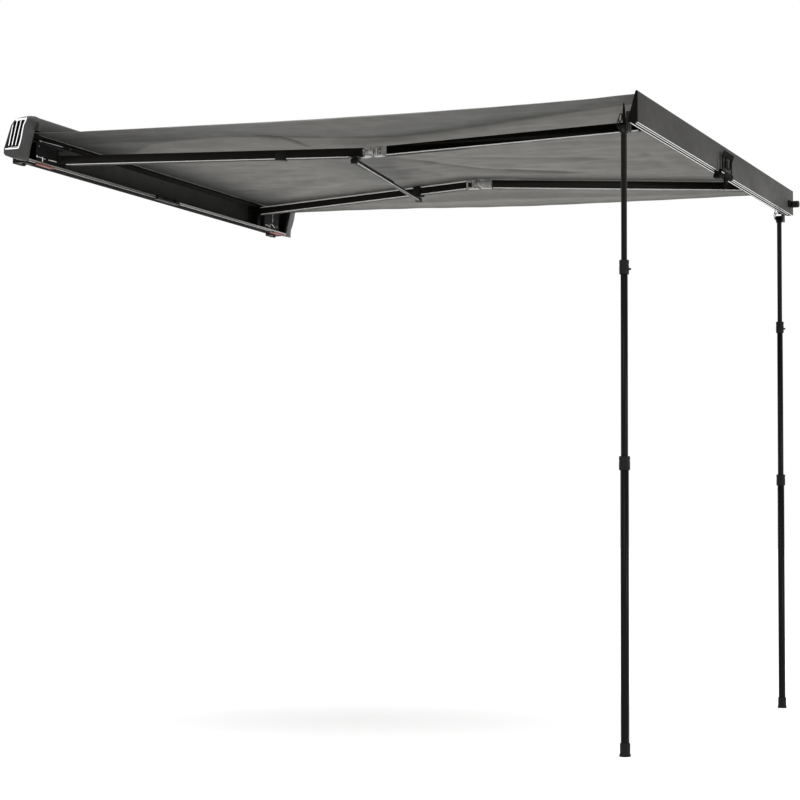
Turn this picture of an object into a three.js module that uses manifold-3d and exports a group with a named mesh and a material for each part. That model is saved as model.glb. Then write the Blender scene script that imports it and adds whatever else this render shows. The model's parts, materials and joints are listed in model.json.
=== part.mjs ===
import * as THREE from 'three';
import { mergeVertices } from 'three/addons/utils/BufferGeometryUtils.js';
import Module from 'manifold-3d';

const wasm = await Module();
wasm.setup();

// ---------------------------------------------------------------- driving dimensions (mm)
// X runs along the case, -Y points away from the vehicle, +Z is up.
// Everything is laid out with Y = 0 on the back of the case; SHIFT_Y then puts
// the back of the two mounting brackets on Y = 0.
const SHIFT_Y = -5.5;

const CASE_LEN = 2500;        // over both end caps
const CAP_LEN = 70;           // end cap along X
const CASE_HALF = CASE_LEN / 2;
const SHELL_HALF = CASE_HALF - CAP_LEN - 0.3;
const CASE_LOW = -62;         // underside of the case
const LIP_FRONT = -67;        // front edge of the bottom lip

const RAIL_HALF = 1236;       // lead rail without its end caps
const RAIL_CAP = 4;
const RAIL_FRONT = -2520;     // vertical front face of the lead rail
const RAIL_LOW = -80;
const RAIL_TOP = 29.4;
const RAIL_DEPTH = 35;

const ARM_W = 25;             // arm box section, sideways
const ARM_H = 37;             // arm box section, height
const ARM_OFF = 14;           // arm centreline beside the line through its pivots
const PIVOT_X = 925;          // shoulders and wrists, each side of the middle
const SHOULDER_Y = -40;
const WRIST_Y = RAIL_FRONT + 56;
const ELBOW_X = 612;
const ELBOW_Y = (SHOULDER_Y + WRIST_Y) / 2;
const LINK = Math.hypot(PIVOT_X - ELBOW_X, SHOULDER_Y - ELBOW_Y);
// The three pivots of an arm are parallel and lean by TILT towards the middle, so an elbow
// stands high when the arm is out and sinks as it swings home under the roller.
const TILT = 0.016;
// underside of each arm at shoulder, elbow and wrist before the lean, and the height the lean
// turns about; the far arm rides over the near one
const ARM_Z = { near: [-41, -25.5, -54], far: [-2, 22.6, -14] };
const LEAN_Z = { near: -22, far: 16.5 };

const LEG_X = 1212.7;
const LEG_Y = RAIL_FRONT + 56.7;
const LEG_PIVOT_Z = -92;
const FOOT_LOW = -2250.7;
const R_UP = 10.25, R_MID = 12.5, R_LOW = 14.75;

const ROLLER_Y = -66, ROLLER_Z = 69.5, ROLLER_R = 18;

const MAT = {
  shell: ['#46453f', 0.5, 0.55], cap: ['#4a4a47', 0.45, 0.0], silver: ['#b9b7b0', 0.35, 0.85],
  arm: ['#1d1c19', 0.42, 0.5], black: ['#141412', 0.55, 0.0], steel: ['#8d8a84', 0.32, 0.9],
  red: ['#8c3a2d', 0.5, 0.0], cloth: ['#6f6d68', 0.92, 0.0], rail: ['#5f5e5a', 0.45, 0.5],
  tube: ['#232321', 0.33, 0.6], rubber: ['#101010', 0.85, 0.0],
};

const group = new THREE.Group();
group.name = 'side_awning';

// ---------------------------------------------------------------- helpers
function toManifold(geo) {
  let g = geo.index ? geo.toNonIndexed() : geo.clone();
  for (const k of Object.keys(g.attributes)) if (k !== 'position') g.deleteAttribute(k);
  g = mergeVertices(g, 1e-4);
  return new wasm.Manifold(new wasm.Mesh({
    numProp: 3,
    vertProperties: Float32Array.from(g.attributes.position.array),
    triVerts: Uint32Array.from(g.index.array),
  }));
}

function fromManifold(m) {
  const mesh = m.getMesh();
  const g = new THREE.BufferGeometry();
  const n = mesh.vertProperties.length / mesh.numProp;
  const pos = new Float32Array(n * 3);
  for (let i = 0; i < n; i++) for (let k = 0; k < 3; k++) pos[3 * i + k] = mesh.vertProperties[i * mesh.numProp + k];
  g.setAttribute('position', new THREE.BufferAttribute(pos, 3));
  g.setIndex(Array.from(mesh.triVerts));
  g.computeVertexNormals();
  return g;
}

const unite = (...gs) => fromManifold(gs.map(toManifold).reduce((a, b) => a.add(b)));
const cut = (g, ...tools) => fromManifold(tools.map(toManifold).reduce((a, b) => a.subtract(b), toManifold(g)));

function add(name, geo, mat) {
  geo.translate(0, SHIFT_Y, 0);
  const [c, r, m] = MAT[mat];
  const mesh = new THREE.Mesh(geo, new THREE.MeshStandardMaterial({ color: c, roughness: r, metalness: m }));
  mesh.name = name;
  mesh.material.name = mat;
  group.add(mesh);
  return mesh;
}

function shapeOf(points, holes = []) {
  const s = new THREE.Shape(points.map((p) => new THREE.Vector2(p[0], p[1])));
  for (const h of holes) s.holes.push(new THREE.Path(h.map((p) => new THREE.Vector2(p[0], p[1]))));
  return s;
}

// closed outline in (Y, Z), drawn out along X from x0 to x1
function alongX(points, x0, x1, holes = []) {
  const g = new THREE.ExtrudeGeometry(shapeOf(points, holes), { depth: x1 - x0, bevelEnabled: false });
  // shape x -> world Y, shape y -> world Z, depth -> world X
  g.applyMatrix4(new THREE.Matrix4().set(0, 0, 1, x0, 1, 0, 0, 0, 0, 1, 0, 0, 0, 0, 0, 1));
  return g;
}

// closed outline in (X, Y), drawn up along Z from z0 to z1
function alongZ(points, z0, z1, holes = []) {
  const g = new THREE.ExtrudeGeometry(shapeOf(points, holes), { depth: z1 - z0, bevelEnabled: false });
  g.translate(0, 0, z0);
  return g;
}

function box(x0, x1, y0, y1, z0, z1) {
  const g = new THREE.BoxGeometry(x1 - x0, y1 - y0, z1 - z0);
  g.translate((x0 + x1) / 2, (y0 + y1) / 2, (z0 + z1) / 2);
  return g;
}

// solid of revolution about an upright axis through (x, y); profile is [radius, z]
function turned(profile, x, y, seg = 24) {
  const g = new THREE.LatheGeometry(profile.map((p) => new THREE.Vector2(p[0], p[1])), seg);
  g.rotateX(Math.PI / 2);
  g.translate(x, y, 0);
  return g;
}

function rod(r, x, y, z0, z1, seg = 20) {
  return turned([[0, z0], [r, z0], [r, z1], [0, z1]], x, y, seg);
}

// rod along Y
function rodY(r, x, z, y0, y1, seg = 20) {
  const g = new THREE.LatheGeometry([[0, y0], [r, y0], [r, y1], [0, y1]].map((p) => new THREE.Vector2(p[0], p[1])), seg);
  g.translate(x, 0, z);
  return g;
}

// rod along X
function rodX(r, y, z, x0, x1, seg = 24) {
  const g = new THREE.LatheGeometry([[0, x0], [r, x0], [r, x1], [0, x1]].map((p) => new THREE.Vector2(p[0], p[1])), seg);
  g.rotateZ(-Math.PI / 2);
  g.translate(0, y, z);
  return g;
}

// lean of the near arm's pivots, about a line along Y through the shoulder
function leaned(geo, side) {
  geo.translate(PIVOT_X, 0, -LEAN_Z[side]);
  geo.rotateY(Math.atan(TILT));
  geo.translate(-PIVOT_X, 0, LEAN_Z[side]);
  return geo;
}

function mirrored(geo) {
  const g = geo.clone();
  g.applyMatrix4(new THREE.Matrix4().makeScale(-1, 1, 1));
  if (g.index) {
    const a = Array.from(g.index.array);
    for (let i = 0; i < a.length; i += 3) [a[i + 1], a[i + 2]] = [a[i + 2], a[i + 1]];
    g.setIndex(a);
  } else {
    const p = g.attributes.position.array;
    for (let i = 0; i < p.length; i += 9) for (let k = 0; k < 3; k++) [p[i + 3 + k], p[i + 6 + k]] = [p[i + 6 + k], p[i + 3 + k]];
  }
  for (const k of Object.keys(g.attributes)) if (k !== 'position') g.deleteAttribute(k);
  g.computeVertexNormals();
  return g;
}

// ---------------------------------------------------------------- case
// open towards -Y: back wall, bottom lip, a shelf and a rolled hood for the cloth roller
const shellOutline = [
  [LIP_FRONT, CASE_LOW], [-5, CASE_LOW], [0, CASE_LOW + 5], [0, 36], [-6, 56], [-20, 76], [-37, 90], [-56, 99.5], [-74, 104],
  [-91, 105], [-103.5, 102.8], [-110.5, 97], [-113, 88], [-112, 70], [-109, 49.5], [-106.2, 49.5], [-109.1, 70], [-110, 87.3],
  [-108, 94.8], [-102.2, 99.9], [-90.8, 102], [-74.6, 101], [-57, 96.7], [-38.6, 87.5], [-22.6, 74], [-9.4, 55], [-5.6, 46],
  [-55.5, 46], [-55.5, 43], [-2.8, 43], [-2.8, -59], [LIP_FRONT, -59],
];
add('case_shell', alongX(shellOutline, -SHELL_HALF, SHELL_HALF), 'shell');

// outline of the end face, and the wider outline where the cap meets the shell
const capFace = [
  [-62, -65.5], [-27, -58], [-7, -50.5], [0, -42], [-0.5, -24], [-31, 65], [-45, 83], [-55, 89], [-70, 92.5], [-88, 93.5], [-98, 92.5],
  [-101, 88], [-96, 78], [-86, 61], [-81, 40], [-76, 13], [-69, -8], [-64, -25], [-62, -45],
];
const capRoot = [
  [-66, -66], [-27, -60], [-6, -52], [1.5, -42], [1, -24], [-29.5, 66], [-42, 86], [-56, 98], [-73, 104], [-92, 107], [-104, 105],
  [-112.5, 97], [-114, 84], [-100, 62], [-91.5, 40], [-84, 13], [-79, -8], [-75, -25], [-71.5, -45],
];

// solid between one outline in (Y, Z) at x0 and another with as many corners at x1
function loftX(a, b, x0, x1) {
  const rows = 5, n = a.length, pos = [];
  const flat = THREE.ShapeUtils.triangulateShape(a.map((p) => new THREE.Vector2(p[0], p[1])), []);
  const at = (i, k) => {
    const t = k / rows, e = 1 - (1 - t) * (1 - t);
    return [x0 + (x1 - x0) * t, a[i][0] + (b[i][0] - a[i][0]) * e, a[i][1] + (b[i][1] - a[i][1]) * e];
  };
  for (let k = 0; k < rows; k++) for (let i = 0; i < n; i++) {
    const j = (i + 1) % n;
    const [p, q, r, s] = [at(i, k), at(j, k), at(j, k + 1), at(i, k + 1)];
    pos.push(...p, ...q, ...r, ...p, ...r, ...s);
  }
  for (const [i, j, k] of flat) {
    pos.push(...at(i, 0), ...at(k, 0), ...at(j, 0));
    pos.push(...at(i, rows), ...at(j, rows), ...at(k, rows));
  }
  const g = new THREE.BufferGeometry();
  g.setAttribute('position', new THREE.BufferAttribute(new Float32Array(pos), 3));
  g.computeVertexNormals();
  return g;
}

function endCap(sign) {
  const outer = loftX(capFace, capRoot, -CASE_HALF, -CASE_HALF + CAP_LEN);
  // pocket open to the inside of the case
  const inner = [
    [-58, -58], [-27, -53], [-10, -46.5], [-5, -39], [-5.5, -24], [-34, 62], [-47, 78], [-58, 85], [-72, 88.5], [-88, 89], [-96, 87],
    [-91, 78], [-82, 61], [-77, 40], [-72, 12], [-66, -8], [-59, -26],
  ];
  let g = cut(outer, alongX(inner, -CASE_HALF + 14, -CASE_HALF + CAP_LEN + 1));
  // recessed panel on the end face that runs out over the top, with standing ribs
  const panel = alongX([[-61, -22], [-6, -22], [-9, -10], [-34, 60], [-46, 78], [-54, 104], [-97, 110], [-96, 86], [-92, 77], [-83, 60], [-78, 40], [-73, 13], [-66, -8]],
    -CASE_HALF - 1, -CASE_HALF + 9);
  g = cut(g, panel);
  const slope = (b, t) => [[b - 3, -14], [b + 3, -14], [t + 3, 78], [t - 4, 99], [t - 11, 99], [t - 3, 78]];
  const ribs = [[-21, -41], [-35.5, -57], [-51, -74]].map(([b, t]) => {
    const bar = toManifold(alongX(slope(b, t), -CASE_HALF + 1.5, -CASE_HALF + 10.5));
    return fromManifold(bar.intersect(toManifold(outer)));
  });
  g = unite(g, ...ribs);
  return sign < 0 ? g : mirrored(g);
}
add('end_cap_near', endCap(-1), 'cap');
add('end_cap_far', endCap(1), 'cap');

add('guide_strip', alongX([[-58.6, 41.4], [-55.8, 41.4], [-55.8, 47.6], [-58.6, 47.6]], -SHELL_HALF + 1, SHELL_HALF - 1), 'silver');
const lipStrip = [[LIP_FRONT - 2.9, -65], [LIP_FRONT - 0.3, -65], [LIP_FRONT - 0.3, -54.5], [LIP_FRONT - 2.9, -54.5]];
add('lip_strip_near', alongX(lipStrip, -SHELL_HALF + 1, -141), 'silver');
add('lip_strip_far', alongX(lipStrip, 63, SHELL_HALF - 1), 'silver');
add('lip_keeper', cut(
  alongX([[-79, -69], [-58, -69], [-58, -62.4], [LIP_FRONT - 0.4, -62.4], [LIP_FRONT - 0.4, -53], [-74, -51], [-79, -57]], -138, 60),
  box(-98, -62, -82, -72, -60, -48), box(-12, 20, -82, -72, -60, -48)), 'black');

const rollerBody = unite(rodX(ROLLER_R, ROLLER_Y, ROLLER_Z, -1168, 1168, 28), rodX(5, ROLLER_Y, ROLLER_Z, -1176, 1176, 16));
add('cloth_roller', rollerBody, 'cloth');

function mountBracket(sign) {
  // upright plate behind the case and a foot below it
  const plate = alongX([[0.4, -70], [5.5, -70], [5.5, 30], [0.4, 30]], -1176, -1108);
  const foot = box(-1176, -1108, -46, 3, -67, -62.4);
  const bolt = rod(8, -1142, -24, -76, -66, 6);
  const g = unite(plate, foot, bolt);
  return sign < 0 ? g : mirrored(g);
}
add('mount_bracket_near', mountBracket(-1), 'black');
add('mount_bracket_far', mountBracket(1), 'black');

// ---------------------------------------------------------------- shoulders
function shoulderBracket(side) {
  const top = side === 'near' ? 17 : 36;
  const z0 = -52;
  const prof = [[-3.1, z0], [-3.1, top + 4], [-60, top + 4], [-60, top], [-7.1, top], [-7.1, z0 + 4], [-60, z0 + 4], [-60, z0]];
  let g = alongX(prof, -1115, -899);
  g = cut(g, leaned(rod(6.3, -PIVOT_X, SHOULDER_Y, -80, 80, 24), side));
  const foot = alongX([[-3.1, -58.7], [-3.1, z0 + 1], [-9, z0 + 1], [-9, -58.7]], -1112, -902);
  g = unite(g, foot);
  return side === 'near' ? g : mirrored(g);
}
add('shoulder_bracket_near', shoulderBracket('near'), 'steel');
add('shoulder_bracket_far', shoulderBracket('far'), 'steel');

function shoulderPin(side) {
  const top = side === 'near' ? 17 : 36;
  const [zs] = ARM_Z[side];
  // shaft, heads outside the plates, and collars that fill the free height inside
  const prof = [[0, -56.5], [9, -56.5], [9, -52.6], [6, -52.6], [6, -47.5], [11, -47.5], [11, zs - 0.5], [6, zs - 0.5]];
  if (side === 'near') prof.push([6, zs + ARM_H + 0.5], [11, zs + ARM_H + 0.5], [11, top - 0.6], [6, top - 0.6], [6, top + 4.6], [9, top + 4.6], [9, top + 5.1], [5, top + 8], [0, top + 8]);
  else prof.push([6, top + 4.3], [0, top + 4.3]);
  const g = leaned(turned(prof, -PIVOT_X, SHOULDER_Y, 24), side);
  return side === 'near' ? g : mirrored(g);
}
add('shoulder_pin_near', shoulderPin('near'), 'steel');
add('shoulder_pin_far', shoulderPin('far'), 'steel');

function releaseTab(sign) {
  const plan = [[-1006, -82], [-1004, -70], [-1012, -60], [-1030, -62], [-1120, -64], [-1133, -72], [-1126, -84], [-1040, -88], [-1016, -90]];
  let g = alongZ(plan, -70.5, -66);
  g = cut(g, rod(4.3, -1018, -76, -90, -50, 16));
  const lip = alongX([[-88, -71.8], [-84.5, -71.8], [-84.5, -66.2], [-88, -66.2]], -1112, -1046);
  g = unite(g, lip);
  return sign < 0 ? g : mirrored(g);
}
add('release_tab_near', releaseTab(-1), 'red');
add('release_tab_far', releaseTab(1), 'red');

// ---------------------------------------------------------------- folding arms
// an arm piece is drawn lying along +s from its first pivot, t to its left, then laid between two points
function lay(geo, p0, p1, slope = 0) {
  const ang = Math.atan2(p1[1] - p0[1], p1[0] - p0[0]);
  const g = geo.clone();
  if (slope) {
    const a = g.attributes.position;
    for (let i = 0; i < a.count; i++) a.setZ(i, a.getZ(i) + slope * a.getX(i));
  }
  g.rotateZ(ang);
  g.translate(p0[0], p0[1], 0);
  return g;
}

// hollow box section between s0 and s1
function beam(s0, s1, t, z0, w = ARM_W, h = ARM_H, wall = 2.4) {
  const g = new THREE.ExtrudeGeometry(shapeOf(
    [[t - w / 2, z0], [t + w / 2, z0], [t + w / 2, z0 + h], [t - w / 2, z0 + h]],
    wall ? [[[t - w / 2 + wall, z0 + wall], [t + w / 2 - wall, z0 + wall], [t + w / 2 - wall, z0 + h - wall], [t - w / 2 + wall, z0 + h - wall]]] : []),
    { depth: s1 - s0, bevelEnabled: false });
  g.applyMatrix4(new THREE.Matrix4().set(0, 0, 1, s0, 1, 0, 0, 0, 0, 1, 0, 0, 0, 0, 0, 1));
  return g;
}

// flat plate from the pivot at s = sp to the section block at s = sb, rounded about the pivot
function lug(sp, sb, t, r, z0, z1) {
  const pts = [];
  const dir = Math.sign(sb - sp);
  const n = 10;
  for (let i = 0; i <= n; i++) {
    const a = Math.PI / 2 + Math.PI * (i / n);
    pts.push([sp + dir * Math.cos(a) * r, Math.sin(a) * r]);
  }
  const lo = t - ARM_W / 2, hi = t + ARM_W / 2;
  pts.push([sp + dir * r * 0.7, Math.min(-r, lo)], [sp + dir * 21.5, lo], [sb, lo], [sb, hi], [sp + dir * r * 0.5, Math.max(r, hi)]);
  const clean = dir > 0 ? pts : pts.reverse();
  return alongZ(clean, z0, z1);
}

const P = {};
for (const [side, sx] of [['near', -1], ['far', 1]]) {
  P[side] = { S: [sx * PIVOT_X, SHOULDER_Y], E: [sx * ELBOW_X, ELBOW_Y], W: [sx * PIVOT_X, WRIST_Y] };
}

// everything is made for the near arm (body on the left of shoulder -> elbow); the far arm is its mirror image
function armPieces(side) {
  const [zs, ze, zw] = ARM_Z[side];
  const { S, E, W } = P.near;
  const r = 15;
  const a1 = (ze - zs) / LINK, a2 = (zw - ze) / LINK;
  const out = {};
  const BACK = 34, FORE = 72;
  // rear arm: box section with a full-height knuckle at the shoulder
  const rearBeam = lay(beam(22, LINK - BACK, ARM_OFF, zs), S, E, a1);
  const rearKnuckle = lay(lug(0, 34, ARM_OFF, r, zs, zs + ARM_H), S, E);
  out.rear_arm = cut(unite(rearBeam, rearKnuckle), lay(rod(6.25, 0, 0, -200, 200, 24), S, E));
  // rear half of the elbow: block that closes the beam, and two cheeks over the pin
  const tb = ARM_OFF;
  const blockR = lay(beam(LINK - BACK + 0.3, LINK - 24, tb, ze, ARM_W, ARM_H, 0), S, E);
  const cheekLo = lay(lug(LINK, LINK - 30, tb, r, ze, ze + 8.5), S, E);
  const cheekHi = lay(lug(LINK, LINK - 30, tb, r, ze + ARM_H - 8.5, ze + ARM_H), S, E);
  out.elbow_rear = cut(unite(blockR, cheekLo, cheekHi), lay(rod(5.3, LINK, 0, -200, 200, 20), S, E));
  // front half: block and one tongue between the cheeks
  const blockF = lay(beam(24, FORE - 0.3, tb, ze, ARM_W, ARM_H, 0), E, W);
  const tongue = lay(lug(0, 30, tb, r, ze + 9.1, ze + ARM_H - 9.1), E, W);
  out.elbow_front = cut(unite(blockF, tongue), lay(rod(5.3, 0, 0, -200, 200, 20), E, W));
  out.elbow_pin = turned([[0, ze + 0.4], [5, ze + 0.4], [5, ze + ARM_H - 0.4], [0, ze + ARM_H - 0.4]], E[0], E[1], 20);
  // front arm: its own beam, and a full-height knuckle at the wrist
  const frontBeam = lay(beam(FORE, LINK - 22, tb, ze), E, W, a2);
  const frontKnuckle = lay(lug(LINK, LINK - 34, tb, r, zw, zw + ARM_H), E, W);
  const bore = side === 'near' ? 5.3 : 7.2;
  out.front_arm = cut(unite(frontBeam, frontKnuckle), lay(rod(bore, LINK, 0, -200, 200, 24), E, W));
  for (const k of Object.keys(out)) out[k] = leaned(out[k], side);
  if (side === 'far') for (const k of Object.keys(out)) out[k] = mirrored(out[k]);
  return out;
}
for (const side of ['near', 'far']) {
  const a = armPieces(side);
  add(`rear_arm_${side}`, a.rear_arm, 'arm');
  add(`elbow_rear_${side}`, a.elbow_rear, 'silver');
  add(`elbow_front_${side}`, a.elbow_front, 'silver');
  add(`elbow_pin_${side}`, a.elbow_pin, 'steel');
  add(`front_arm_${side}`, a.front_arm, 'arm');
}

// wrist brackets on the sloping back of the lead rail: two plates, the lower one with a
// flange, and the pin between them
const backY = (z) => RAIL_FRONT + 6 + (RAIL_DEPTH - 6) * (RAIL_TOP - z) / (RAIL_TOP - RAIL_LOW);
function wristBracket(side) {
  const zw = ARM_Z[side][2];
  const lo = zw - 4.6, hi = zw + ARM_H + 1.0;
  const t = 2.4;
  const yb = (z) => backY(z) + 0.4;
  const yp = WRIST_Y + 13;
  const lower = alongX([[yb(lo - 15), lo - 15], [yb(lo - 15) + 2.4, lo - 15], [yb(lo) + 2.4, lo], [yp, lo], [yp, lo + t], [yb(lo + t), lo + t]], -PIVOT_X - 22, -PIVOT_X + 22);
  const upper = alongX([[yb(hi), hi], [yp, hi], [yp, hi + t], [yb(hi + t), hi + t]], -PIVOT_X - 22, -PIVOT_X + 22);
  const pin = leaned(rod(5, -PIVOT_X, WRIST_Y, lo + 1, hi + 1.4, 20), side);
  const g = unite(lower, upper, pin);
  return side === 'near' ? g : mirrored(g);
}
add('wrist_bracket_near', wristBracket('near'), 'black');
add('wrist_bracket_far', wristBracket('far'), 'black');

// ---------------------------------------------------------------- tension rafter
const CLIP_S = 905, JAW_S = 950;
const zAt = (side, s) => ARM_Z[side][0] + (ARM_Z[side][1] - ARM_Z[side][0]) * s / LINK;
{
  // open saddle under the near rear arm
  const s0 = CLIP_S - 22, s1 = CLIP_S + 22;
  const z = Math.min(zAt('near', s0), zAt('near', s1));
  const zt = z + ARM_H - 6;
  const lo = ARM_OFF - ARM_W / 2, hi = ARM_OFF + ARM_W / 2;
  const pts = [[lo - 3.4, z - 3.8], [hi + 3.4, z - 3.8], [hi + 3.4, zt], [hi + 0.4, zt], [hi + 0.4, z - 0.4], [lo - 0.4, z - 0.4], [lo - 0.4, zt], [lo - 3.4, zt]];
  add('rafter_clip', leaned(lay(alongX(pts, s0, s1), P.near.S, P.near.E), 'near'), 'black');
}
{
  // jaw round the far rear arm; the rafter's tip tucks in below it
  const s0 = JAW_S - 20, s1 = JAW_S + 20;
  const z = Math.min(zAt('far', s0), zAt('far', s1));
  const zh = Math.max(zAt('far', s0), zAt('far', s1)) + ARM_H;
  const lo = ARM_OFF - ARM_W / 2, hi = ARM_OFF + ARM_W / 2;
  const pts = [[lo - 4, z - 6], [hi + 4, z - 6], [hi + 4, zh + 2], [hi - 6, zh + 2], [hi - 6, zh + 0.4], [hi + 0.4, zh + 0.4], [hi + 0.4, z - 0.4], [lo - 0.4, z - 0.4],
    [lo - 0.4, zh + 0.4], [lo + 6, zh + 0.4], [lo + 6, zh + 2], [lo - 4, zh + 2]];
  add('rafter_jaw', mirrored(leaned(lay(alongX(pts, s0, s1), P.near.S, P.near.E), 'far')), 'black');
}

const RAFTER_S = LINK - 52, RAFTER_T = -22.6;
const along = (A, B, s, t) => {
  const L = Math.hypot(B[0] - A[0], B[1] - A[1]);
  const ux = (B[0] - A[0]) / L, uy = (B[1] - A[1]) / L;
  return [A[0] + ux * s - uy * t, A[1] + uy * s + ux * t];
};
const RP = along(P.near.S, P.near.E, RAFTER_S, RAFTER_T);
const JP = along(P.far.S, P.far.E, JAW_S, -ARM_OFF);
const RAFTER_LEN = Math.hypot(JP[0] - RP[0], JP[1] - RP[1]);
const RAFTER_Z0 = -57, RAFTER_H = 17, RAFTER_W = 19, RAFTER_RISE = 42 / RAFTER_LEN;
{
  // arm's underside here once it leans
  const under = (q) => zAt('near', q) - TILT * (along(P.near.S, P.near.E, q, ARM_OFF)[0] + PIVOT_X);
  const zb = Math.min(under(RAFTER_S - 22), under(RAFTER_S + 22)) - 0.4;
  const pad = lay(box(RAFTER_S - 20, RAFTER_S + 20, ARM_OFF - ARM_W / 2, ARM_OFF + ARM_W / 2, zb - 2.5, zb), P.near.S, P.near.E);
  const plate = lay(alongZ([[RAFTER_S - 20, -30], [RAFTER_S - 12, -38], [RAFTER_S + 12, -38], [RAFTER_S + 20, -30], [RAFTER_S + 20, ARM_OFF + ARM_W / 2], [RAFTER_S - 20, ARM_OFF + ARM_W / 2]], zb - 5.5, zb - 2), P.near.S, P.near.E);
  const boss = turned([[0, RAFTER_Z0 - 4.6], [9, RAFTER_Z0 - 4.6], [13.5, RAFTER_Z0 - 3.2], [13.5, RAFTER_Z0 - 0.9], [7, RAFTER_Z0 - 0.9], [7, zb - 5], [0, zb - 5]], RP[0], RP[1], 24);
  add('rafter_bracket', unite(pad, plate, boss), 'black');
}
{
  const eye = turned([[7.4, RAFTER_Z0], [13.5, RAFTER_Z0], [13.5, RAFTER_Z0 + RAFTER_H], [7.4, RAFTER_Z0 + RAFTER_H], [7.4, RAFTER_Z0]], 0, 0, 24);
  const outer = cut(beam(10, 740, 0, RAFTER_Z0, RAFTER_W, RAFTER_H, 0), box(24, 745, -RAFTER_W / 2 + 2, RAFTER_W / 2 - 2, RAFTER_Z0 + 2, RAFTER_Z0 + RAFTER_H - 2), rod(7.4, 0, 0, -100, 0, 24));
  add('rafter_outer', lay(unite(eye, outer), RP, JP, RAFTER_RISE), 'arm');
  const inner = beam(655, RAFTER_LEN + 12, 0, RAFTER_Z0 + 2.4, RAFTER_W - 4.8, RAFTER_H - 4.8, 1.8);
  add('rafter_inner', lay(inner, RP, JP, RAFTER_RISE), 'silver');
  const tip = cut(box(RAFTER_LEN - 22, RAFTER_LEN + 20, -11, 11, RAFTER_Z0 - 1.5, RAFTER_Z0 + RAFTER_H + 0.5),
    box(RAFTER_LEN - 30, RAFTER_LEN + 12.4, -7.5, 7.5, RAFTER_Z0 + 2, RAFTER_Z0 + RAFTER_H - 2));
  add('rafter_tip', lay(tip, RP, JP, RAFTER_RISE), 'black');
}

// ---------------------------------------------------------------- lead rail
{
  const F = RAIL_FRONT, T = RAIL_TOP, B = RAIL_LOW;
  const outer = [[F, B + 2], [F + 2, B], [F + 13, B], [F + 13, B + 2.2], [F + 9.5, B + 2.2], [F + 9.5, B + 9.5], [F + 25.5, B + 9.5], [F + 25.5, B + 2.2],
    [F + 22, B + 2.2], [F + 22, B], [F + RAIL_DEPTH, B], [F + 6, T], [F + 1.5, T], [F, T - 1.5]];
  const inner = [[F + 2.6, B + 12.2], [F + 28.6, B + 12.2], [F + 5.6, T - 9], [F + 2.6, T - 9]];
  add('lead_rail', alongX(outer, -RAIL_HALF, RAIL_HALF, [inner]), 'rail');
  const cap = [[F, B + 1], [F + RAIL_DEPTH, B + 1], [F + RAIL_DEPTH, B + 6], [F + 7, T], [F, T]];
  const plug = [[F + 3, B + 12.8], [F + 27.6, B + 12.8], [F + 6, T - 14], [F + 3, T - 14]];
  const railCap = unite(alongX(cap, -RAIL_HALF - RAIL_CAP, -RAIL_HALF - 0.3), alongX(plug, -RAIL_HALF - 1, -RAIL_HALF + 14));
  add('rail_cap_near', railCap.clone(), 'black');
  add('rail_cap_far', mirrored(railCap), 'black');

  // pull handle: a strap bail hinged at the lower edge, with a latch block in the groove under the rail
  const latch = unite(
    alongX([[F - 9, B - 12], [F + 19, B - 12], [F + 19, B - 0.4], [F - 0.4, B - 0.4], [F - 0.4, B + 8], [F - 9, B + 8]], -100, 92),
    box(20, 60, F + 4, F + 12, B - 40, B - 11), box(-96, -60, F + 2, F + 24, B - 24, B - 11));
  add('handle_latch', cut(latch, rodX(3.3, F - 4.8, B + 2.4, -130, 120, 16), box(-78, -62, F - 12, F - 0.5, B - 6, B + 12), box(62, 78, F - 12, F - 0.5, B - 6, B + 12)), 'black');
  const path = (x) => [[F - 7.2, B - 0.6], [F - 2.4, B - 0.6], [F - 2.4, B + 6], [F - 6, B + 8], [F - 6, B + 56], [F - 14.5, B + 84], [F - 17.5, B + 83], [F - 9.2, B + 56], [F - 9.2, B + 5], [F - 7.2, B + 5]];
  const bars = [-77, 63].map((x) => alongX(path(x), x, x + 14));
  const bridge = alongX([[F - 14.5, B + 84], [F - 17.5, B + 83], [F - 11.7, B + 65], [F - 8.8, B + 65.9]], -77, 77);
  const hingeRod = rodX(2.9, F - 4.8, B + 2.4, -86, 86, 16);
  add('pull_handle', unite(...bars, bridge, hingeRod), 'arm');

  // turn knob on the front face near the far end
  const knob = new THREE.LatheGeometry([[0, 0], [9, 0], [9, 5], [14.5, 8], [15, 12], [15, 34], [13, 38], [0, 38]].map((p) => new THREE.Vector2(p[0], p[1])), 24);
  knob.rotateX(Math.PI);
  knob.translate(1185, RAIL_FRONT - 0.4, -37);
  const flats = [0, 1, 2, 3, 4, 5].map((i) => {
    const a = (i + 0.5) * Math.PI / 3;
    return rodY(3.2, 1185 + 17 * Math.cos(a), -37 + 17 * Math.sin(a), RAIL_FRONT - 33, RAIL_FRONT - 12, 12);
  });
  add('rail_knob', cut(knob, ...flats), 'black');
}

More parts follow.
